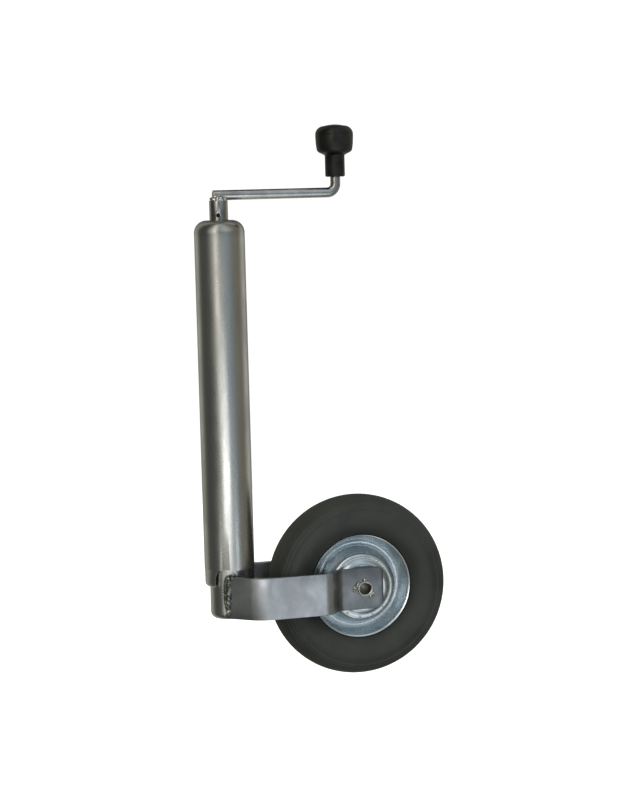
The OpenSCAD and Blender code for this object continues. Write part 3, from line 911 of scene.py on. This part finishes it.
# %% Run a tree on a path
def grow(name, tree, base, finish, smooth_angle=38, place=None, **values):
    """Runs a tree on the base data, and returns the result as a plain mesh piece."""
    holder = bpy.data.objects.new(name + "_nodes", base)
    bpy.context.scene.collection.objects.link(holder)
    modifier = holder.modifiers.new("nodes", "NODES")
    modifier.node_group = tree
    values["finish"] = finish
    for socket in tree.interface.items_tree:
        label = socket.name.lower().replace(" ", "_")
        if socket.in_out == "INPUT" and label in values:
            modifier[socket.identifier] = values[label]
    evaluated = holder.evaluated_get(bpy.context.evaluated_depsgraph_get())
    mesh = bpy.data.meshes.new_from_object(evaluated)
    bpy.data.objects.remove(holder)
    if place is not None:
        mesh.transform(place)
    mesh.name = name
    return finished(name, mesh, finish, smooth_angle)


def path(points):
    """A plain curve through the points."""
    data = bpy.data.curves.new("path", "CURVE")
    data.dimensions = "3D"
    spline = data.splines.new("POLY")
    spline.points.add(len(points) - 1)
    for point, place in zip(spline.points, points):
        point.co = (*place, 1)
    return data


def sweep(tree, curve, sides, radius):
    """Sweeps a circle along a curve, closes both ends and gives the node."""
    ring = add(tree, "GeometryNodeCurvePrimitiveCircle", {"Resolution": sides, "Radius": radius})
    swept = add(tree, "GeometryNodeCurveToMesh", {"Curve": curve, "Profile Curve": ring.outputs[0]})
    swept.inputs["Fill Caps"].default_value = True
    return swept


print("path and sweep ready")


# %% Tree for bent rod
def make_rod_tree():
    tree, given = new_tree("bent_rod", radius=5.0 * mm, bend=10.0 * mm, sides=48, finish=rod_zinc)
    corner = {"Curve": given["Geometry"], "Count": 20, "Radius": given["Bend"]}
    bent = add(tree, "GeometryNodeFilletCurve", corner, mode="POLY")
    swept = sweep(tree, bent.outputs[0], given["Sides"], given["Radius"])
    end_tree(tree, swept.outputs[0], given["Finish"])
    return tree


rod_tree = make_rod_tree()
rod_path = [(rod_low.x, 0, rod_z), (crank_reach, 0, rod_z), (crank_reach, 0, rod_high.z)]
rod_sizes = dict(radius=rod_r, bend=10.5 * mm, sides=48)
crank_rod = grow("bent_crank_rod", rod_tree, path(rod_path), rod_zinc, **rod_sizes)
break_edges(crank_rod, 0.8 * mm, 60)
seat(crank_rod, "crank", "zinc_rod", "crank_arm")


# %% Tree for weld beads
def make_bead_tree():
    tree, given = new_tree(
        "weld_bead", radius=3.0 * mm, pitch=3.0 * mm, ripple=0.15, lump=0.6 * mm, seed=1.0, finish=weld_metal
    )
    steps = maths(tree, "DIVIDE", given["Pitch"], 10.0)
    pieces = {"Curve": given["Geometry"], "Length": steps}
    even = add(tree, "GeometryNodeResampleCurve", pieces, mode="LENGTH")
    along = add(tree, "GeometryNodeSplineParameter").outputs
    whole_turns = maths(tree, "MULTIPLY", along["Length"], 2 * math.pi)
    waves = maths(tree, "SINE", maths(tree, "DIVIDE", whole_turns, given["Pitch"]))
    swell = maths(tree, "ADD", maths(tree, "MULTIPLY", waves, given["Ripple"]), 1.0)
    arch = maths(tree, "SINE", maths(tree, "MULTIPLY", along["Factor"], math.pi))
    taper = maths(tree, "MAXIMUM", maths(tree, "POWER", maths(tree, "ABSOLUTE", arch), 0.35), 0.25)
    size = maths(tree, "MULTIPLY", swell, taper)
    swept = sweep(tree, even.outputs[0], 20, given["Radius"])
    tree.links.new(size, swept.inputs["Scale"])
    grain = {"Scale": 320.0, "Detail": 2.0, "W": given["Seed"]}
    blobs = add(tree, "ShaderNodeTexNoise", grain, noise_dimensions="4D")
    push = maths(tree, "MULTIPLY", maths(tree, "SUBTRACT", blobs.outputs["Fac"], 0.5), given["Lump"])
    outward = add(tree, "GeometryNodeInputNormal").outputs["Normal"]
    offset = add(tree, "ShaderNodeVectorMath", {0: outward, "Scale": push}, operation="SCALE")
    moved = {"Geometry": swept.outputs[0], "Offset": offset.outputs["Vector"]}
    pushed = add(tree, "GeometryNodeSetPosition", moved)
    end_tree(tree, pushed.outputs[0], given["Finish"])
    return tree


bead_tree = make_bead_tree()


print("bead tree has", len(bead_tree.nodes), "nodes")


# %% One run of weld, and joining pieces
def bead(points, radius, pitch, ripple, lump, seed, finish=weld_metal):
    """One run of weld through the points. Radius, pitch and lump are in millimetres."""
    sizes = dict(radius=radius * mm, pitch=pitch * mm, ripple=ripple, lump=lump * mm, seed=seed)
    return grow("bead", bead_tree, path(points), finish, 60, **sizes)


def joined(name, pieces):
    """Several pieces of one body become one."""
    work = bmesh.new()
    for piece in pieces:
        work.from_mesh(piece.data)
    mesh = pieces[0].data
    work.to_mesh(mesh)
    work.free()
    for piece in pieces[1:]:
        bpy.data.objects.remove(piece)
    pieces[0].name = name
    mesh.set_sharp_from_angle(angle=math.radians(60))
    return pieces[0]


print("weld helpers ready")

# %% [markdown]
# ## Sleeve, weld and roll pin
# A turned sleeve fits over the screw's end and a roll pin goes through both. The rod lies across the
# sleeve's top and is welded down along both sides, in short fat beads that run over the sleeve's rim.
# A roll pin is a strip of spring steel rolled into a C. It sits a little deep, and a black plug in its hollow
# paints the shade there, so each end of its hole looks black.

# %% Sleeve and roll pin
pin_turn = math.radians(-15)
pin_centre = middle("roll_pin")
pin_r = 2.5 * mm
pin_wall = 0.9 * mm
journal_r = 7 * mm
pin_place = Matrix.Translation(pin_centre) @ Matrix.Rotation(pin_turn, 4, "Z")
pin_place = pin_place @ Matrix.Rotation(math.pi / 2, 4, "X")
sleeve_outline = [(journal_r, sleeve_low.z), (journal_r, sleeve_high.z)]
sleeve_outline += arc(sleeve_r - edge, sleeve_high.z - edge, edge, 90, 0, 4)
sleeve_outline += arc(sleeve_r - edge, sleeve_low.z + edge, edge, 0, -90, 4)
crank_sleeve = lathe("turned_crank_sleeve", sleeve_outline, rod_zinc, 96)
cut(crank_sleeve, rod("sleeve_drill", pin_r, -2 * sleeve_r, 2 * sleeve_r, rod_zinc, 40, pin_place))
break_edges(crank_sleeve, 0.3 * mm, 60)
seat(crank_sleeve, "crank", "zinc_rod", "crank_sleeve")


def rolled_pin():
    """A C-shaped strip, pushed straight through, with a black plug in its middle as painted shade."""
    half = sleeve_r - 2.5 * mm
    opening = 28
    steps = 28
    outer = arc(0, 0, pin_r, opening, 360 - opening, steps)
    inner = arc(0, 0, pin_r - pin_wall, 360 - opening, opening, steps)
    ring = outer + inner
    count = len(ring)
    points = [(x, y, z) for z in (-half, half) for x, y in ring]
    faces = [(i, (i + 1) % count, count + (i + 1) % count, count + i) for i in range(count)]
    faces += [(i, i + 1, count - 2 - i, count - 1 - i) for i in range(steps)]
    faces += [tuple(count + i for i in face) for face in faces[-steps:]]
    mesh = bpy.data.meshes.new("pin")
    mesh.from_pydata(points, [], faces)
    mesh.transform(pin_place)
    strip = finished("slotted_roll_pin", mesh, black_steel)
    # Painted shade: a black plug deep in the pin's hollow.
    shade_plug_r = pin_r - pin_wall + 0.05 * mm
    shade_plug_half = 4 * mm
    grease = rod("grease", shade_plug_r, -shade_plug_half, shade_plug_half, black_steel, 24, pin_place)
    return joined("slotted_roll_pin", [strip, grease])


seat(rolled_pin(), "crank", "steel", "roll_pin")

# %% Weld between rod and sleeve
weld_y = rod_r + 0.2 * mm
weld_z = sleeve_high.z + 0.6 * mm


def crank_bead(side, seed):
    reach = sleeve_r - 2.6 * mm
    points = [
        (-reach, side * (weld_y - 3.0 * mm), weld_z + 0.4 * mm),
        (-reach + 2 * mm, side * (weld_y - 0.8 * mm), weld_z + 0.8 * mm),
        (0, side * (weld_y + 0.3 * mm), weld_z + 0.8 * mm),
        (reach - 2 * mm, side * (weld_y - 0.6 * mm), weld_z + 0.2 * mm),
        (reach + 0.6 * mm, side * (weld_y - 3.4 * mm), weld_z - 1.8 * mm),
    ]
    return bead(points, 3.7, 5.2, 0.12, 2.6, seed, bright_weld)


crank_weld = joined("lumpy_crank_weld", [crank_bead(-1, 1.0), crank_bead(1, 2.0)])
seat(crank_weld, "crank", "weld", "crank_weld")

# %% [markdown]
# ## Knob
# The knob is a hollow moulding that turns freely on the rod's upright end. Its neck is plain, its head is
# almost flat on top with a generous rim, and a fine line shows where the mould closed. The half outline
# below is the knob's section with its bore and the hollow that holds the spring clip.

# %% Knob
knob_r = (knob_high.x - knob_low.x) / 2
neck_r = 11.8 * mm
foot_r = 2 * mm
rim_edge = 10.5 * mm
crown = 1.6 * mm
rim_z = knob_high.z - crown - rim_edge
clip_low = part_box("knob_clip")[0].z - 0.3 * mm


def knob_outline():
    bore = rod_r + 0.07 * mm
    hollow = 8.5 * mm
    hollow_top = rod_high.z + 1.7 * mm
    neck_top = knob_low.z + 25 * mm
    line = 0.25 * mm
    points = [(0, hollow_top), (hollow, hollow_top), (hollow, clip_low), (bore, clip_low)]
    points += [(bore, knob_low.z + 0.5 * mm), (bore + 0.5 * mm, knob_low.z)]
    points += arc(neck_r - foot_r, knob_low.z + foot_r, foot_r, -90, 0, 6)
    points += arc(neck_r + 2 * mm, neck_top - 0.6 * mm, 2 * mm, 180, 105, 5)
    points += arc(knob_r - 7.4 * mm, knob_low.z + 34.2 * mm, 6.2 * mm, -68, -8, 7)
    points += [(knob_r - 0.5 * mm, knob_low.z + 39 * mm), (knob_r, rim_z - 3 * line)]
    points += [(knob_r - line, rim_z - line), (knob_r - line, rim_z + line)]
    points += [(knob_r - 0.02 * mm, rim_z + 3 * line)]
    points += arc(knob_r - rim_edge, rim_z, rim_edge, 8, 84, 14)
    flat_r = knob_r - rim_edge
    dome_r = (flat_r**2 + crown**2) / (2 * crown)
    tilt = math.degrees(math.asin(flat_r / dome_r))
    points += arc(0, knob_high.z - dome_r, dome_r, 90 - tilt, 91, 8)[:-1]
    points += [(0, knob_high.z)]
    return points


knob_place = Matrix.Translation((crank_reach, 0, 0))
knob = lathe("moulded_knob", knob_outline(), knob_plastic, 96, place=knob_place)
seat(knob, "handle", "knob_black", "knob")

# %% [markdown]
# ## Screw and bearing
# The screw has a single-start thread of 4 mm lead: one turn of the crank moves the leg 4 mm. The thread is a
# ridge wound round a plain core, so a spiral curve and a small four-sided section make it. The balls of the
# thrust bearing are one ball repeated round a ring.


# %% Trees for the thread and the balls
def make_thread_tree():
    tree, given = new_tree(
        "screw_thread", radius=8.0 * mm, turns=60.0, height=0.24, ridge=1.0 * mm, finish=turned_steel
    )
    sizes = {"Start Radius": given["Radius"], "End Radius": given["Radius"], "Height": given["Height"]}
    helix = add(tree, "GeometryNodeCurveSpiral", {"Resolution": 24, "Rotations": given["Turns"], **sizes})
    level = add(tree, "GeometryNodeSetCurveNormal", {"Curve": helix.outputs[0]}, mode="Z_UP")
    swept = sweep(tree, level.outputs[0], 4, given["Ridge"])
    end_tree(tree, swept.outputs[0], given["Finish"])
    return tree


def make_ball_tree(name, segments, rings, flatness, finish):
    """Balls on a ring. Flatness is each ball's height by its width."""
    tree, given = new_tree(name, count=12, ring_radius=12.0 * mm, ball_radius=2.4 * mm, finish=finish)
    ring = add(tree, "GeometryNodeMeshCircle", {"Vertices": given["Count"], "Radius": given["Ring radius"]})
    shape = {"Segments": segments, "Rings": rings, "Radius": given["Ball radius"]}
    ball = add(tree, "GeometryNodeMeshUVSphere", shape)
    flat = add(tree, "GeometryNodeTransform", {"Geometry": ball.outputs[0], "Scale": (1, 1, flatness)})
    many = add(tree, "GeometryNodeInstanceOnPoints", {"Points": ring.outputs[0], "Instance": flat.outputs[0]})
    end_tree(tree, many.outputs[0], given["Finish"])
    return tree


any_path = path([(0, 0, 0), (0, 0, 1)])
thread_tree = make_thread_tree()
ball_tree = make_ball_tree("ball_ring", 24, 14, 1.0, ground_steel)
print("trees:", thread_tree.name, ball_tree.name)

# %% Screw
spindle_low, spindle_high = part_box("spindle")
thread_lead = 4 * mm
core_r = 7.2 * mm
thread_r = 9.0 * mm
ridge = 0.9 * mm
collar_r = 15 * mm
collar_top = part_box("lower_race")[0].z
collar_z = collar_top - 6 * mm
thread_low = spindle_low.z + 2 * mm
thread_len = collar_z - thread_low - 3 * mm
screw_outline = [(0, spindle_low.z), (core_r - edge, spindle_low.z), (core_r, spindle_low.z + edge)]
screw_outline += [(core_r, collar_z), (collar_r - edge, collar_z), (collar_r, collar_z + edge)]
screw_outline += [(collar_r, collar_top - edge), (collar_r - edge, collar_top)]
screw_outline += [(journal_r, collar_top), (journal_r, spindle_high.z - edge)]
screw_outline += [(journal_r - edge, spindle_high.z), (0, spindle_high.z)]
core = lathe("turned_screw", screw_outline, turned_steel, 64)
cut(core, rod("screw_drill", pin_r, -2 * sleeve_r, 2 * sleeve_r, turned_steel, 40, pin_place))
thread_sizes = dict(
    radius=thread_r - ridge, turns=thread_len / thread_lead, height=thread_len, ridge=ridge
)
thread_place = Matrix.Translation((0, 0, thread_low))
thread = grow("thread", thread_tree, any_path, turned_steel, 20, thread_place, **thread_sizes)
seat(joined("turned_screw", [core, thread]), "crank", "steel", "spindle")

# %% Balls of the bearing
ball_sizes = dict(count=12, ring_radius=12.5 * mm, ball_radius=2.4 * mm)
balls_place = Matrix.Translation((0, 0, middle("thrust_balls").z))
balls = grow("bearing_balls", ball_tree, any_path, ground_steel, place=balls_place, **ball_sizes)
seat(balls, "housing", "bearing_steel", "thrust_balls")

# %% [markdown]
# ## Fork arms
# Each arm is flat bar, bent three times: it flares out from the leg, turns to run beside the tyre, and
# steps in to meet the hub. A bar bender works from straight lengths and bends, so the centreline is
# walked in the same way, and the bar's rounded section is placed at each station on it. Towards the
# free end the section gets shorter, which rounds the two corners.

# %% The bar's centreline
bar_t = 6 * mm
bar_half = (arm_high.z - arm_low.z) / 2
arm_out = -arm_low.y
eye_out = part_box("axle_washers")[1].y + bar_t
flare = math.radians(40)
flare_r = 35 * mm
step_angle = math.radians(50)
step_r = 14 * mm
top_corner_r = 5 * mm
low_corner_r = 11 * mm
eye_x = hub.x - 27 * mm
start_s = 8 * mm
start_off = math.sqrt((leg_r + 0.05 * mm) ** 2 - start_s**2) + bar_t / 2
start_x = start_s * math.cos(flare) - start_off * math.sin(flare)
start_y = start_s * math.sin(flare) + start_off * math.cos(flare)
flare_run = (arm_out - bar_t / 2 - flare_r * (1 - math.cos(flare)) - start_y) / math.sin(flare)
side_x = start_x + flare_run * math.cos(flare) + flare_r * math.sin(flare)
step_run = (arm_out - eye_out - 2 * step_r * (1 - math.cos(step_angle))) / math.sin(step_angle)
step_len = 2 * step_r * math.sin(step_angle) + step_run * math.cos(step_angle)
print("flare", round(flare_run, 4), "then a step", round(step_len, 4), "long")


# %% Walk along the centreline
def bar_stations():
    """The centreline as (x, y, heading)."""
    x, y, heading = start_x, start_y, flare
    stations = [(x, y, heading)]

    def run(length, parts):
        nonlocal x, y
        for _ in range(parts):
            x += length / parts * math.cos(heading)
            y += length / parts * math.sin(heading)
            stations.append((x, y, heading))

    def bend(turn, radius, parts=16):
        nonlocal x, y, heading
        side = math.copysign(radius, turn)
        for _ in range(parts):
            x += side * (math.sin(heading + turn / parts) - math.sin(heading))
            y -= side * (math.cos(heading + turn / parts) - math.cos(heading))
            heading += turn / parts
            stations.append((x, y, heading))

    run(flare_run, 4)
    bend(-flare, flare_r)
    run(eye_x - step_len - side_x, 6)
    bend(-step_angle, step_r)
    run(step_run, 2)
    bend(step_angle, step_r)
    corner_x = arm_high.x - low_corner_r
    run(corner_x - x, 4)
    for k in range(1, 15):
        run(corner_x + low_corner_r * math.sin(math.pi / 2 * k / 14) - x, 1)
    return stations


print("the bar has", len(bar_stations()), "stations")


# %% Sweep the bar's section
def corner_drop(x, radius):
    """How much a rounded end corner takes off the bar's height at x."""
    past = max(0.0, x - (arm_high.x - radius))
    return radius - math.sqrt(max(0.0, radius**2 - past**2))


def bar_section(x):
    """The section's outline as (across, height), with broken edges."""
    soft = 1.1 * mm
    near_end = max(0.0, soft - (arm_high.x - x)) if x > arm_high.x - soft else 0.0
    half_t = bar_t / 2 - near_end * 0.8
    top = bar_half - corner_drop(x, top_corner_r)
    low = -bar_half + corner_drop(x, low_corner_r)
    points = arc(half_t - soft, top - soft, soft, 0, 90, 4)
    points += arc(-half_t + soft, top - soft, soft, 90, 180, 4)
    points += arc(-half_t + soft, low + soft, soft, 180, 270, 4)
    points += arc(half_t - soft, low + soft, soft, 270, 360, 4)
    return points


def bar_ring(x, y, heading, side):
    """The section's points where the bar's centreline is at x, y."""
    ring = []
    for across, height in bar_section(x):
        there_x = x - across * math.sin(heading)
        there_y = y + across * math.cos(heading)
        ring.append((there_x, side * there_y, hub.z + height))
    return ring


def fork_arm(name, side):
    arm = stacked(name, [bar_ring(*station, side) for station in bar_stations()], bar_zinc)
    bore_r = 8.55 * mm
    cut(arm, rod("axle_drill", bore_r, -2 * arm_out, 2 * arm_out, bar_zinc, 64, onto_axle()))
    resmoothed(arm)
    return arm


seat(fork_arm("bent_fork_arm_right", -1), "leg", "zinc_bar", "fork_arm_right")
seat(fork_arm("bent_fork_arm_left", 1), "leg", "zinc_bar", "fork_arm_left")


# %% [markdown]
# ## Welds on the fork
# The bar's end is welded to the inner tube with upright beads on both of its faces and a short one over its
# top corner. The bead on the outer face is the fattest, and a rough one, as the torch had to reach round.

# %% Fork welds
def beside_bar(along, off, side, height):
    """A point near the bar's welded end: along the bar, and off the inner tube's axis."""
    x = along * math.cos(flare) - off * math.sin(flare)
    y = along * math.sin(flare) + off * math.cos(flare)
    return (x, side * y, hub.z + height)


def fork_weld(name, side, seed):
    top = bar_half - 1.5 * mm
    edge_run = [beside_bar(6.6 * mm, 24.6 * mm, side, top - 3 * mm * k) for k in range(14)]
    inner_run = [beside_bar(12.6 * mm, 22.6 * mm, side, top - 3 * mm * k) for k in range(15)]
    cap_run = []
    face_run = []
    for k in range(9):
        cap_run.append(beside_bar((7.5 + 1.5 * k) * mm, (25.8 + 0.25 * k) * mm, side, top + 0.2 * mm))
    for k in range(15):
        drop = (1 + 3.1 * k) * mm
        face_run.append(beside_bar((13.4 - 0.2 * k) * mm, 28.2 * mm, side, top - drop))
    runs = [
        bead(edge_run, 2.9, 3.4, 0.14, 1.8, seed),
        bead(inner_run, 2.5, 3.2, 0.14, 1.4, seed + 1),
        bead(cap_run, 3.1, 4.4, 0.2, 3.0, seed + 2),
        bead(face_run, 4.3, 5.4, 0.16, 3.2, seed + 3),
    ]
    return joined(name, runs)


seat(fork_weld("rippled_fork_weld_right", -1, 4.0), "leg", "weld", "fork_weld_right")
seat(fork_weld("rippled_fork_weld_left", 1, 7.0), "leg", "weld", "fork_weld_left")

# %% [markdown]
# ## Axle
# The axle is a tube whose ends are rolled outwards over the arms, so it can't pull through. Each end is
# tacked to the arm with short beads. They are left lumpy and bright, because nobody grinds them.

# %% Axle tube
axle_r = 8.5 * mm
axle_bore = 6.6 * mm
roll_r = 1.1 * mm
axle_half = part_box("axle_tube")[1].y - hub.y


def axle_outline():
    points = arc(axle_r, axle_half - roll_r, roll_r, -70, 140, 10)
    points += [(axle_bore + 0.3 * mm, axle_half - 0.9 * mm), (axle_bore, axle_half - 2 * mm)]
    mirrored = [(r, -h) for r, h in reversed(points)]
    return points + mirrored


axle = lathe("rolled_axle_tube", axle_outline(), rod_zinc, 72, onto_axle())
seat(axle, "leg", "zinc_rod", "axle_tube")


# %% Tack welds on the axle
def tack(side, start, end, off, radius, seed):
    """A short bead round the axle's end, from one angle to another, off millimetres outside it."""
    if side > 0:
        start, end = 180 - end, 180 - start
    angles = [math.radians(start + (end - start) * k / 8) for k in range(9)]
    reach = axle_r + off * mm
    face = side * (eye_out + 0.5 * mm)
    points = [(hub.x + reach * math.cos(a), face, hub.z + reach * math.sin(a)) for a in angles]
    return bead(points, radius, 2.8, 0.2, 2.4, seed, bright_weld)


tacks = []
for side in (-1, 1):
    tacks.append(tack(side, 130, 168, 2.9, 2.1, 11.0))
    tacks.append(tack(side, 158, 196, 5.2, 2.3, 12.0))
    tacks.append(tack(side, 296, 336, 2.3, 2.3, 13.0))
    tacks.append(tack(side, 88, 108, 2.4, 1.7, 14.0))
seat(joined("axle_tack_welds", tacks), "leg", "weld", "axle_welds")
seat(softened("axle_washers", "spacing_washers", rod_zinc, 0.2 * mm), "leg", "zinc_rod", "axle_washers")

# %% [markdown]
# ## Tyre
# The tyre is moulded solid rubber. Its section follows a rule: two round sides run into a flatter crown, with
# a step on each side where the mould halves meet the tread ring, and fine ribs round the tread.
# The ribs are cut into the section itself, so they are real grooves and not only shading.

# %% Tyre
tyre_half = (tyre_high.y - tyre_low.y) / 2
side_r = 26 * mm
side_ring = tyre_r - 24.5 * mm
crown_r = 52 * mm
step_ring = 95.5 * mm
step_wide = 9 * mm
step_deep = 0.9 * mm
rib_pitch = 4.2 * mm
rib_depth = 0.35 * mm
ribs_end = 48 * mm
rim_seat_r = 63.9 * mm


def tyre_skin(parts):
    """Half of the tyre's outer section, from beside the rim's lip to the crown: points and outward ways."""
    offset = tyre_half - side_r
    apart = Vector((side_ring - (tyre_r - crown_r), offset))
    cosine = (crown_r**2 + apart.length_squared - side_r**2) / (2 * crown_r * apart.length)
    crown_end = math.atan2(apart.y, apart.x) + math.acos(cosine)
    meet = Vector((tyre_r - crown_r, 0)) + crown_r * Vector((math.cos(crown_end), math.sin(crown_end)))
    side_end = math.atan2(meet.y - offset, meet.x - side_ring)
    side_start = math.acos((rim_seat_r - side_ring) / side_r)
    skin = []
    side_parts = round(parts * 0.62)
    for k in range(side_parts):
        a = side_start + (side_end - side_start) * k / side_parts
        way = Vector((math.cos(a), math.sin(a)))
        skin.append((Vector((side_ring, offset)) + side_r * way, way))
    for k in range(parts - side_parts + 1):
        a = crown_end * (1 - k / (parts - side_parts))
        way = Vector((math.cos(a), math.sin(a)))
        skin.append((Vector((tyre_r - crown_r, 0)) + crown_r * way, way))
    return skin


print("half the skin has", len(tyre_skin(150)), "points")


# %% Press in the step and the ribs
def tyre_outline():
    skin = tyre_skin(150)
    run = 0.0
    half = []
    for k, (point, way) in enumerate(skin):
        if k and point.x > step_ring:
            run += (point - skin[k - 1][0]).length
        drop = 0.0
        if point.x > step_ring:
            wave = (run / rib_pitch) % 1.0
            if run <= ribs_end:
                drop = rib_depth * max(0.0, math.sin(math.pi * wave) ** 2 - 0.35) / 0.65
        elif point.x > step_ring - step_wide and point.y > 0:
            drop = step_deep * min(1.0, (step_ring - point.x) / (0.8 * mm))
            drop *= min(1.0, (point.x - (step_ring - step_wide)) / (6 * mm))
        pressed = point - way * drop
        half.append((pressed.x, pressed.y))
    foot = [(55.4 * mm, 1.5 * mm), (62.5 * mm, 16.8 * mm), (rim_seat_r, 17.0 * mm)]
    upper = foot + half
    lower = [(r, -h) for r, h in reversed(upper[:-1])]
    return upper + lower


moulded_tyre = lathe("moulded_tyre", tyre_outline(), tyre_rubber, 200, onto_axle())
seat(moulded_tyre, "wheel", "tyre_rubber", "tyre")

# %% [markdown]
# ## Rim discs
# Two pressed discs meet back to back on the wheel's middle plane. From the outside in, each has a lip beside
# the tyre, a steep wall down to the valley, a cone up to a shallow ledge, and a flat boss. The press
# leaves every bend round, so the section's line is given with its corners, the corners are rounded,
# and the sheet's thickness is laid on both sides. A ring of small pressed nubs stands on the ledge.


# %% Sheet outline
def rounded(corners, radius, parts=5):
    """A line through the corners, with each inner corner eased by a short curve."""
    points = [Vector(corners[0])]
    for back_point, here, on_point in zip(corners, corners[1:], corners[2:]):
        here = Vector(here)
        before, after = Vector(back_point) - here, Vector(on_point) - here
        reach = min(radius, before.length * 0.48, after.length * 0.48)
        start, end = here + before.normalized() * reach, here + after.normalized() * reach
        for k in range(parts + 1):
            t = k / parts
            points.append(start * (1 - t) ** 2 + here * 2 * t * (1 - t) + end * t**2)
    points.append(Vector(corners[-1]))
    return points


def sheet_outline(line, thickness):
    """Both faces of a sheet that follows the line."""
    faces = ([], [])
    for k, point in enumerate(line):
        along = (line[min(k + 1, len(line) - 1)] - line[max(k - 1, 0)]).normalized()
        beside = Vector((-along.y, along.x)) * thickness / 2
        faces[0].append(tuple(point + beside))
        faces[1].append(tuple(point - beside))
    return faces[0] + faces[1][::-1]


print("sheet helpers ready")

# %% The section of a rim disc
rim_r = 64.5 * mm
rim_t = 2 * mm
lip_h = 18.5 * mm
boss_h = -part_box("rim_disc_right")[0].y - rim_t / 2
ledge_h = boss_h - 3.0 * mm
floor_h = rim_t / 2 + 0.02 * mm
rim_corners = [
    (rim_r - 1.6 * mm, lip_h), (rim_r - 3.4 * mm, lip_h - 0.8 * mm), (rim_r - 9 * mm, 5 * mm),
    (rim_r - 11.5 * mm, floor_h), (rim_r - 16 * mm, floor_h), (rim_r - 23.5 * mm, ledge_h - 3.4 * mm),
    (rim_r - 26 * mm, ledge_h), (33.0 * mm, ledge_h), (29.4 * mm, boss_h), (14 * mm, boss_h),
]
nub_sizes = dict(count=14, ring_radius=36.6 * mm, ball_radius=1.4 * mm)
nub_tree = make_ball_tree("nub_ring", 20, 12, 0.62, rim_zinc)
print("rim section has", len(rim_corners), "corners")


# %% Rim discs and their nubs
def rim_disc(name, side):
    outline = sheet_outline(rounded(rim_corners, 3.0 * mm), rim_t)
    disc = lathe(name, outline, rim_zinc, 160, onto_axle(side))
    outer_face = ledge_h + rim_t / 2
    first_nub = Matrix.Rotation(0.1, 4, "Z")
    place = onto_axle(side) @ Matrix.Translation((0, 0, outer_face)) @ first_nub
    nubs = grow("nubs", nub_tree, any_path, rim_zinc, place=place, **nub_sizes)
    return joined(name, [disc, nubs])


seat(rim_disc("pressed_rim_disc_right", -1), "wheel", "rim_zinc", "rim_disc_right")
seat(rim_disc("pressed_rim_disc_left", 1), "wheel", "rim_zinc", "rim_disc_left")

# %% [markdown]
# ## Plain nodes that only need a finish
# Races, rings, nut, washers and bushes are turned pieces with plain shapes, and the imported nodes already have
# them right. They keep their own meshes and get a finish in their material slots.


# %% Finishes for the plain nodes
def dress(node, finish):
    shown = frame["nodes"][node]
    for slot in shown.material_slots:
        slot.material = finish
    print(node, "wears", finish.name)


plain_finishes = {
    turned_steel: ("bearing_plate", "stop_washer", "stop_pin", "nut_pins", "hub_tube"),
    ground_steel: ("upper_race", "lower_race", "knob_clip"),
    cage_brass: ("ball_cage", "spindle_nut"),
    nylon: ("lower_guide_ring", "upper_guide_ring"),
    weld_metal: ("hub_welds",),
}
for finish, nodes in plain_finishes.items():
    for node in nodes:
        dress(node, finish)

# %% Flanged bushes
for side in ("left", "right"):
    bush = softened("hub_bush_" + side, "flanged_bush_" + side, nylon, 0.25 * mm)
    seat(bush, "wheel", "nylon", "hub_bush_" + side)
